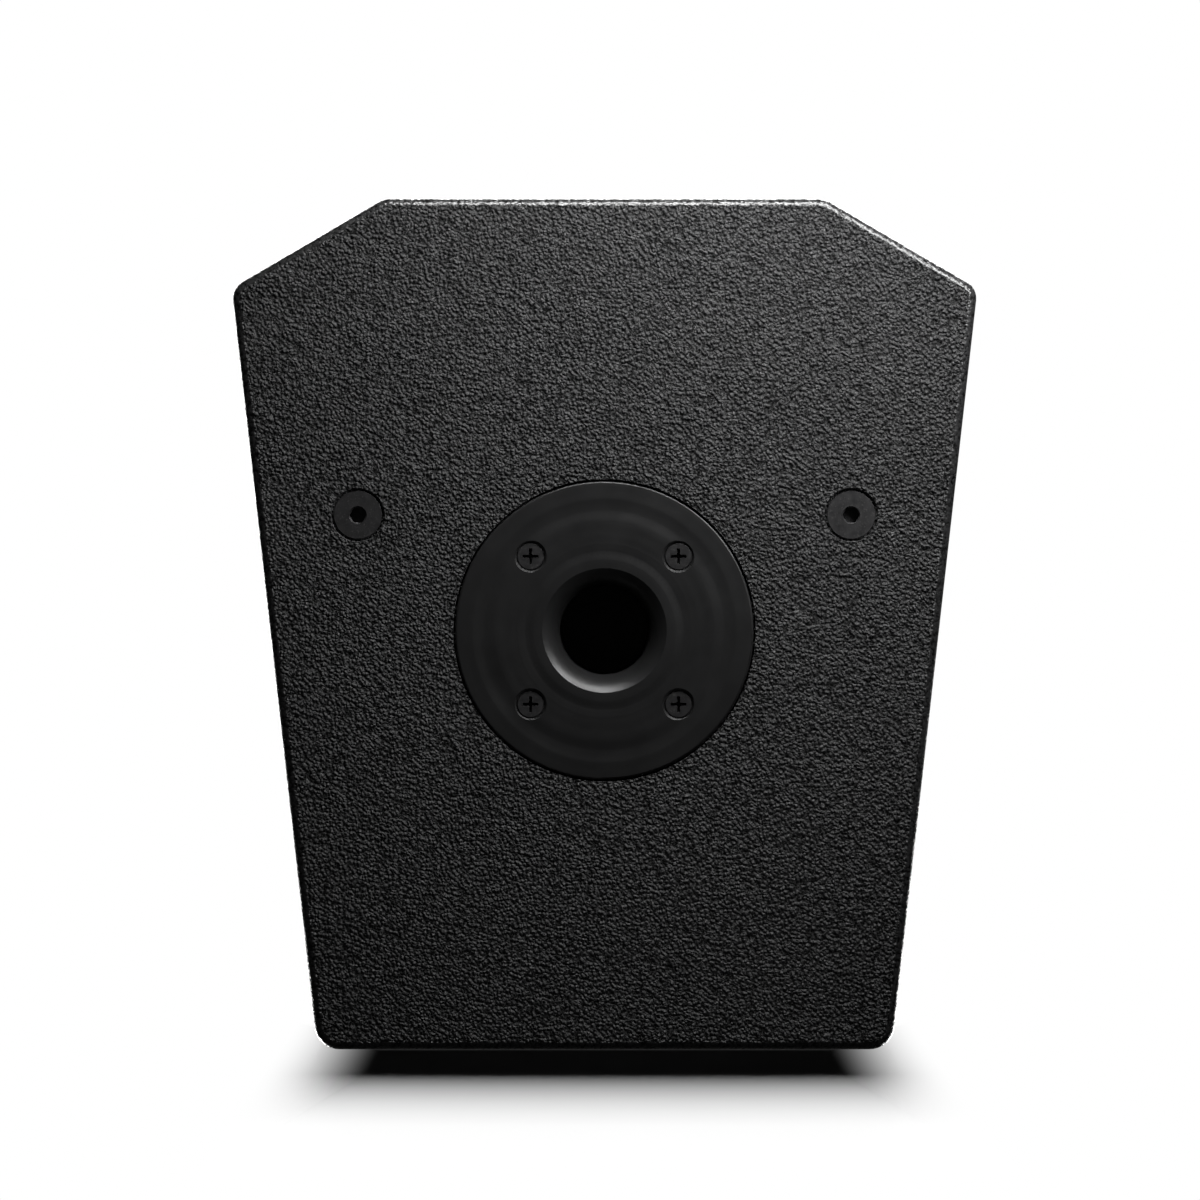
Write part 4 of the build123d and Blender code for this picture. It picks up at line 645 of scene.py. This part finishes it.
def perforated_grille():
    """The pressed pan: a punched sheet bent round the front, with plain returns and lips."""
    mid = GRILLE_SETBACK + SHEET / 2
    side = GRILLE_SIDE + SHEET / 2
    right = [corner(GRILLE_END, side), corner(mid, side), bend(mid)]
    left = [Vector((-p.x, p.y)) for p in right]
    line = Bent(left + right[::-1], [OUTER_BEND_R, INNER_BEND_R, INNER_BEND_R, OUTER_BEND_R])
    low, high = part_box("grille")[0][2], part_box("grille")[1][2]
    rows = int((high - low - 2 * PLAIN_RIM) / ROW)
    base = (low + high - rows * ROW) / 2
    levels = [low] + [base + k * ROW / 2 for k in range(2 * rows + 1)] + [high]

    flat_points, flat_faces, index = [], [], {}

    def vertex(u, v):
        """The number of the point at u along the sheet and v up it, one for each micrometre."""
        key = (round(u * 1e6), round(v * 1e6))
        if key not in index:
            index[key] = len(flat_points)
            flat_points.append((u, v))
        return index[key]

    def grid(us, vs):
        for u0, u1 in zip(us, us[1:]):
            for v0, v1 in zip(vs, vs[1:]):
                flat_faces.append([vertex(u0, v0), vertex(u1, v0), vertex(u1, v1), vertex(u0, v1)])

    def punched(u, v):
        """One cell with its lower left corner at u, v: its border has a point every quarter pitch."""
        q, half = HOLE_PITCH / 4, ROW / 2
        border = [(4, 1), (4, 2), (3, 2), (2, 2), (1, 2), (0, 2)]
        border += [(0, 1), (0, 0), (1, 0), (2, 0), (3, 0), (4, 0)]
        sides = len(border)
        ring = [vertex(u + a * q, v + b * half) for a, b in border]
        hole = []
        for k in range(sides):
            turn = math.radians(360 / sides * k)
            hole.append(vertex(u + 2 * q + HOLE_R * math.cos(turn), v + half + HOLE_R * math.sin(turn)))
        for k in range(sides):
            after = (k + 1) % sides
            flat_faces.append([hole[k], ring[k], ring[after], hole[after]])

    plain_from = 0.0
    for number, (a, b) in enumerate(line.straights):
        start, end = line.places[a], line.places[b]
        is_return = number in (0, len(line.straights) - 1)
        across = 0 if is_return else int((end - start - 2 * PLAIN_BEND) / HOLE_PITCH)
        if not across:
            continue
        first = (start + end - across * HOLE_PITCH) / 2
        last = first + across * HOLE_PITCH
        bends = [p for p in line.places if plain_from < p < first]
        grid([plain_from, *bends, first], levels)
        quarters = [first + k * HOLE_PITCH / 4 for k in range(4 * across + 1)]
        grid(quarters, [levels[0], levels[1]])
        grid(quarters, [levels[-2], levels[-1]])
        for row in range(rows):
            v = base + row * ROW
            shift = HOLE_PITCH / 2 if row % 2 else 0
            for k in range(across - row % 2):
                punched(first + shift + k * HOLE_PITCH, v)
            if shift:
                grid(quarters[:3], [v, v + ROW / 2, v + ROW])
                grid(quarters[-3:], [v, v + ROW / 2, v + ROW])
        plain_from = last
    bends = [p for p in line.places if plain_from < p < line.places[-1]]
    grid([plain_from, *bends, line.places[-1]], levels)

    points = []
    for out in (SHEET / 2, -SHEET / 2):
        for u, v in flat_points:
            plan = line.at(u, out)
            points.append((plan.x, plan.y, v))
    count = len(flat_points)
    faces = [list(face) for face in flat_faces]
    faces += [[count + k for k in reversed(face)] for face in flat_faces]
    edges = {}
    for face in flat_faces:
        edges.update(dict.fromkeys(zip(face, face[1:] + face[:1])))
    for a, b in edges:
        if (b, a) not in edges:
            faces.append([b, a, count + a, count + b])
    for z in (low, high - SHEET):
        add_lips(points, faces, z)
    piece = new_piece("grille_perforated", points, faces, CABINET, "grille_steel")
    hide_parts("grille")


def add_lips(points, faces, z):
    """The folded edge along one end of the pan, mitred at its bends."""
    near, far = GRILLE_SETBACK + SHEET, GRILLE_SETBACK + LIP_REACH
    inner_side = GRILLE_SIDE + SHEET
    front = [bend(near), corner(near, inner_side)]
    back = [bend(far), corner(far, inner_side)]
    front = [Vector((-p.x, p.y)) for p in reversed(front)] + front
    back = [Vector((-p.x, p.y)) for p in reversed(back)] + back
    start = len(points)
    for height in (z, z + SHEET):
        points.extend((p.x, p.y, height) for p in front + back)
    n = len(front)
    for k in range(n - 1):
        low = [start + k, start + k + 1, start + n + k + 1, start + n + k]
        faces.append(low[::-1])
        faces.append([v + 2 * n for v in low])
    rim = [*range(n), *range(2 * n - 1, n - 1, -1)]
    for a, b in zip(rim, rim[1:] + rim[:1]):
        faces.append([start + a, start + b, start + b + 2 * n, start + a + 2 * n])


perforated_grille()


# --- Woofer's suspension ---------------------------------------------------------------------------------
def ring_sectors(name, profile, node, material, sectors):
    """A turned piece in sectors, each reaching between the basket and the cone along its own radius."""
    axis = centre(node)
    steps = 5
    pieces = []
    for sector in range(sectors):
        points, faces = [], []
        for step in range(steps + 1):
            turn = 2 * math.pi * (sector + step / steps) / sectors
            for r, y in profile:
                points.append((axis.x + r * math.cos(turn), y, axis.z + r * math.sin(turn)))
        count = len(profile)
        for step in range(steps):
            for k in range(count):
                a, b = step * count + k, step * count + (k + 1) % count
                faces.append([a, b, b + count, a + count])
        piece = new_piece(f"{name}_{sector + 1:02d}", points, faces, None, material)
        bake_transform(piece)
        pieces.append(piece)
    for piece in pieces:
        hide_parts(node)


def pleated_profile(r_from, r_to, y_level, height, folds, thickness, lands):
    """The section of a pleated ring: a flat land, so many folds towards the front, and the other land."""
    inner_land, outer_land = lands
    steps_per_fold = 8
    steps = folds * steps_per_fold
    middle = [inner_land]
    for k in range(steps + 1):
        t = k / steps
        r = r_from + (r_to - r_from) * t
        middle.append((r, y_level - height * math.sin(math.pi * t * folds) ** 2))
    middle.append(outer_land)
    front = [(r, y - thickness / 2) for r, y in middle]
    rear = [(r, y + thickness / 2) for r, y in reversed(middle)]
    return front + rear


def woofer_suspension():
    cone_low, cone_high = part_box("woofer_cone")
    cone_r = (cone_high[0] - cone_low[0]) / 2
    surround_low, surround_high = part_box("woofer_surround")
    outer_r = (surround_high[0] - surround_low[0]) / 2
    ledge, cloth, pleat_height, pleats = 3 * MM, 0.7 * MM, 3.2 * MM, 2
    land_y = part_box("woofer_frame")[0][1] + ledge - cloth
    on_cone, on_frame = (cone_r - 4.3 * MM, land_y + 3.5 * MM), (outer_r, land_y)
    first_r, last_r = cone_r + 0.4 * MM, cone_r + 8.8 * MM
    profile = pleated_profile(first_r, last_r, land_y, pleat_height, pleats, cloth, (on_cone, on_frame))
    sectors, rim_r = 24, cone_r + 9 * MM
    ring_sectors("woofer_surround_pleat", profile, "woofer_surround", "cloth_surround", sectors)
    spider_low, spider_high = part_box("woofer_spider")
    spider_y = (spider_low[1] + spider_high[1]) / 2
    spider_r = (spider_high[0] - spider_low[0]) / 2
    neck_r, cloth, fold_height, folds = 26.0 * MM, 0.5 * MM, 2.4 * MM, 6
    lands = (neck_r, spider_y), (spider_r, spider_y)
    first_r, last_r = neck_r + 3 * MM, spider_r - 8 * MM
    profile = pleated_profile(first_r, last_r, spider_y, fold_height, folds, cloth, lands)
    sectors = 12
    ring_sectors("woofer_spider_fold", profile, "woofer_spider", "spider_cloth", sectors)


woofer_suspension()


# --- Wadding ---------------------------------------------------------------------------------------------
def wadding_pad(name, origin, along, up, out, size, tufts):
    """A bonded pad: thick in the middle of each field between its tacks, and thin at its rim and tacks."""
    length, height, depth = size
    nx, ny = 56, 44
    wander, lumps_per_metre = 0.02, 60
    rim_reach, tack_reach = 0.35 * depth, 0.9 * depth
    points, faces = [], []
    rng = random.Random(name)
    shift = Vector((rng.random() * 50, rng.random() * 50, rng.random() * 50))
    tacks = []
    for i in range(tufts[0]):
        for j in range(tufts[1]):
            u = (i + 0.5) / tufts[0] + rng.uniform(-wander, wander)
            v = (j + 0.5) / tufts[1] + rng.uniform(-wander, wander)
            tacks.append((u, v))
    for side in (1, -1):
        for j in range(ny + 1):
            for i in range(nx + 1):
                a, b = i / nx, j / ny
                rim = min(a, 1 - a) * length, min(b, 1 - b) * height
                edge = 1 - math.exp(-min(rim) / rim_reach)
                near = min(math.hypot((a - u) * length, (b - v) * height) for u, v in tacks)
                pull = 1 - 0.55 * math.exp(-((near / tack_reach) ** 2))
                spot = Vector((a * length, b * height, 0)) * lumps_per_metre + shift
                coarse, fine = 0.5 + 0.5 * noise.noise(spot), 0.5 + 0.5 * noise.noise(spot * 2.7)
                lump = 1 - 0.12 * coarse - 0.08 * fine
                thick = depth * (0.12 + 0.88 * edge * pull * lump)
                inset = 3 * MM + 1.5 * MM * noise.noise(spot * 1.9)
                where = (
                    origin
                    + along * (inset + a * (length - 2 * inset))
                    + up * (inset + b * (height - 2 * inset))
                    + out * (thick if side > 0 else 0.0)
                )
                points.append(where)
    count = (nx + 1) * (ny + 1)

    def at(i, j, side):
        """The number of a point: side 0 is the pad's free face, and side 1 lies on the wall."""
        return side * count + j * (nx + 1) + i

    for j in range(ny):
        for i in range(nx):
            quad = [at(i, j, 0), at(i + 1, j, 0), at(i + 1, j + 1, 0), at(i, j + 1, 0)]
            faces.append(quad)
            faces.append([v + count for v in reversed(quad)])
    rim = [(i, 0) for i in range(nx)] + [(nx, j) for j in range(ny)]
    rim += [(i, ny) for i in range(nx, 0, -1)] + [(0, j) for j in range(ny, 0, -1)]
    for (a, b), (c, d) in zip(rim, rim[1:] + rim[:1]):
        faces.append([at(c, d, 0), at(a, b, 0), at(a, b, 1), at(c, d, 1)])
    piece = new_piece(name, points, faces, CABINET, "wadding", smooth_angle=80)
    return piece


def all_wadding():
    """A pad on each side panel between these heights and these y, and one under the top panel."""
    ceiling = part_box("wadding")[1][2]
    pad_low, pad_high, pad_front, pad_rear = 0.030, 0.205, -0.085, 0.140
    gap, depth = 0.0005, 0.017
    pieces = []
    for side, name in ((1, "wadding_right"), (-1, "wadding_left")):
        origin = Vector((side * side_x(pad_front, WALL + gap), pad_front, pad_low))
        far = Vector((side * side_x(pad_rear, WALL + gap), pad_rear, pad_low))
        along = (far - origin).normalized()
        up = Vector((0, 0, 1))
        out = along.cross(up) * -side
        size = ((far - origin).length, pad_high - pad_low, depth)
        if side > 0:
            pieces.append(wadding_pad(name, origin, along, up, out, size, (5, 4)))
        else:
            pieces.append(wadding_pad(name, origin + along * size[0], -along, up, out, size, (5, 4)))
    top = Vector((-0.060, -0.030, ceiling - gap))
    rearward, rightward, downward = Vector((0, 1, 0)), Vector((1, 0, 0)), Vector((0, 0, -1))
    top_size = (0.170, 0.120, depth)
    pieces.append(wadding_pad("wadding_top", top, rearward, rightward, downward, top_size, (4, 3)))
    for piece in pieces:
        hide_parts("wadding")


all_wadding()


# --- Stage, light and camera -----------------------------------------------------------------------------
def one_sided(name, tone, fade_from, fade_to, top=None):
    """Ground seen only from its front: matt near the origin, fading to plain white between these distances.

    An upright sheet, with its top at this height, also turns white towards that top, far below the underside
    and beside the cabinet. Near the cabinet that white is painted light: it fades out the cabinet's cast
    shadow towards the sheet's top, along the shadow's tail and at its sides.
    """
    look = Look(name)
    tree = look.tree
    far = look.spread(look.length(look.place), fade_from, fade_to, 0, 1, smooth=True)
    if top:
        # Painted light: white glow laid over the lamp-lit ground where the cabinet's shadow falls, to end
        # and narrow it.
        level, beside = look.part_of("Z"), look.maths("ABSOLUTE", look.part_of("X"))
        for place, clear_to, white_from in ((level, 0, top), (level, -0.07, -0.4), (beside, 0.09, 0.132)):
            painted_light_fade = look.spread(place, clear_to, white_from, 0, 1, smooth=True)
            far = look.maths("MAXIMUM", far, painted_light_fade)
    matt = look.node("ShaderNodeBsdfDiffuse")
    matt.inputs["Color"].default_value = (tone, tone, tone, 1)
    white = look.node("ShaderNodeEmission")
    clear = look.node("ShaderNodeBsdfTransparent")
    ground, whole = look.node("ShaderNodeMixShader"), look.node("ShaderNodeMixShader")
    look.feed(ground.inputs[0], far)
    look.feed(ground.inputs[1], matt.outputs[0])
    look.feed(ground.inputs[2], white.outputs[0])
    look.feed(whole.inputs[0], look.node("ShaderNodeNewGeometry").outputs["Backfacing"])
    look.feed(whole.inputs[1], ground.outputs[0])
    look.feed(whole.inputs[2], clear.outputs[0])
    tree.nodes.remove(look.shader)
    tree.links.new(whole.outputs[0], tree.nodes["Material Output"].inputs["Surface"])
    return look.material


def stage_sheet(name, corners, material):
    mesh = bpy.data.meshes.new(name)
    mesh.from_pydata(corners, [], [[0, 1, 2, 3]])
    sheet = bpy.data.objects.new(name, mesh)
    bpy.context.scene.collection.objects.link(sheet)
    mesh.materials.append(material)
    for flag in ("visible_diffuse", "visible_glossy", "visible_transmission", "visible_shadow"):
        setattr(sheet, flag, False)
    return sheet


def make_stage():
    """The floor under the standing cabinet, and the ground under its rear when it lies on its back."""
    far, below = 6.0, -0.0004
    floor_tone, ground_tone = 0.86, 0.05
    floor_corners = [(-far, -far, below), (far, -far, below), (far, far, below), (-far, far, below)]
    floor = stage_sheet("floor", floor_corners, one_sided("floor", floor_tone, 0.9, 2.2))
    y, foot, top = REAR_Y + 0.0006, -1.6, 0.12
    ground_corners = [(-far, y, foot), (far, y, foot), (far, y, top), (-far, y, top)]
    ground = stage_sheet("ground", ground_corners, one_sided("ground", ground_tone, 0.6, 1.1, top))
    return floor, ground


def softbox(name, at, aim, size, power, skip=(), only=(), beam=180):
    """A lamp of this size and power in watts. It lights all but skip, or only what only holds."""
    light = bpy.data.lights.new(name, "AREA")
    light.shape = "RECTANGLE"
    light.size, light.size_y = size
    light.energy = power
    light.spread = math.radians(beam)
    lamp = bpy.data.objects.new(name, light)
    lamp.location = at
    lamp.visible_camera = False
    lamp.rotation_euler = (Vector(aim) - Vector(at)).to_track_quat("-Z", "Y").to_euler()
    bpy.context.scene.collection.objects.link(lamp)
    if skip or only:
        linked = bpy.data.collections.new(f"{name}_linked")
        for thing in (*skip, *only):
            linked.objects.link(thing)
        lamp.light_linking.receiver_collection = linked
        if skip:
            for member in linked.collection_objects:
                member.light_linking.link_state = "EXCLUDE"


def make_light(floor, ground):
    world = bpy.data.worlds.new("studio")
    bpy.context.scene.world = world
    world.use_nodes = True
    tree = world.node_tree
    seen = tree.nodes["Background"]
    seen.inputs["Color"].default_value = (1, 1, 1, 1)
    dim = tree.nodes.new("ShaderNodeBackground")
    dim.inputs["Strength"].default_value = 0.03
    mix = tree.nodes.new("ShaderNodeMixShader")
    path = tree.nodes.new("ShaderNodeLightPath")
    tree.links.new(path.outputs["Is Camera Ray"], mix.inputs[0])
    tree.links.new(dim.outputs[0], mix.inputs[1])
    tree.links.new(seen.outputs[0], mix.inputs[2])
    tree.links.new(mix.outputs[0], tree.nodes["World Output"].inputs["Surface"])
    both = (floor, ground)
    softbox("key_below", (0.29, -0.29, -0.24), (0.05, -0.15, 0), (0.16, 0.12), 0.62, skip=both, beam=100)
    softbox("strip_below", (0.11, -0.42, -0.18), (0.11, -0.30, 0), (0.42, 0.1), 2.2, skip=both, beam=100)
    softbox("front", (0.35, -1.2, 1.5), (0, 0, 0.25), (1.2, 0.8), 42, skip=(ground,))
    softbox("top", (-0.7, -0.4, 2.0), (0, 0, 0.3), (1.4, 1.0), 45, skip=(ground,))
    softbox("rear_left", (-1.2, 1.0, 1.9), (0, 0, 0.25), (0.9, 0.9), 60, skip=(ground,))
    softbox("rear_right", (1.2, 0.9, 1.8), (0, 0, 0.25), (0.9, 0.9), 50, skip=(ground,))
    softbox("ground_near", (0, REAR_Y - 1.3, 0.44), (0, REAR_Y, 0), (0.55, 0.40), 470, only=(ground,))
    softbox("ground_far", (0, REAR_Y - 1.3, 1.05), (0, REAR_Y, 0), (0.75, 0.7), 400, only=(ground,))


def make_camera():
    """It looks straight up at the underside from this far below, with -Y at the top of the picture."""
    distance, view_width = 1.7, 0.4813
    x, y = -0.0018, -0.0096
    camera = bpy.data.cameras.new("camera")
    camera.sensor_width = 36
    camera.lens = camera.sensor_width * distance / view_width
    camera.clip_start, camera.clip_end = 0.05, 50
    eye = bpy.data.objects.new("camera", camera)
    eye.matrix_world = Matrix(((1, 0, 0, x), (0, -1, 0, y), (0, 0, -1, -distance), (0, 0, 0, 1)))
    bpy.context.scene.collection.objects.link(eye)
    bpy.context.scene.camera = eye


make_light(*make_stage())
make_camera()
bpy.context.scene.view_settings.view_transform = "Standard"
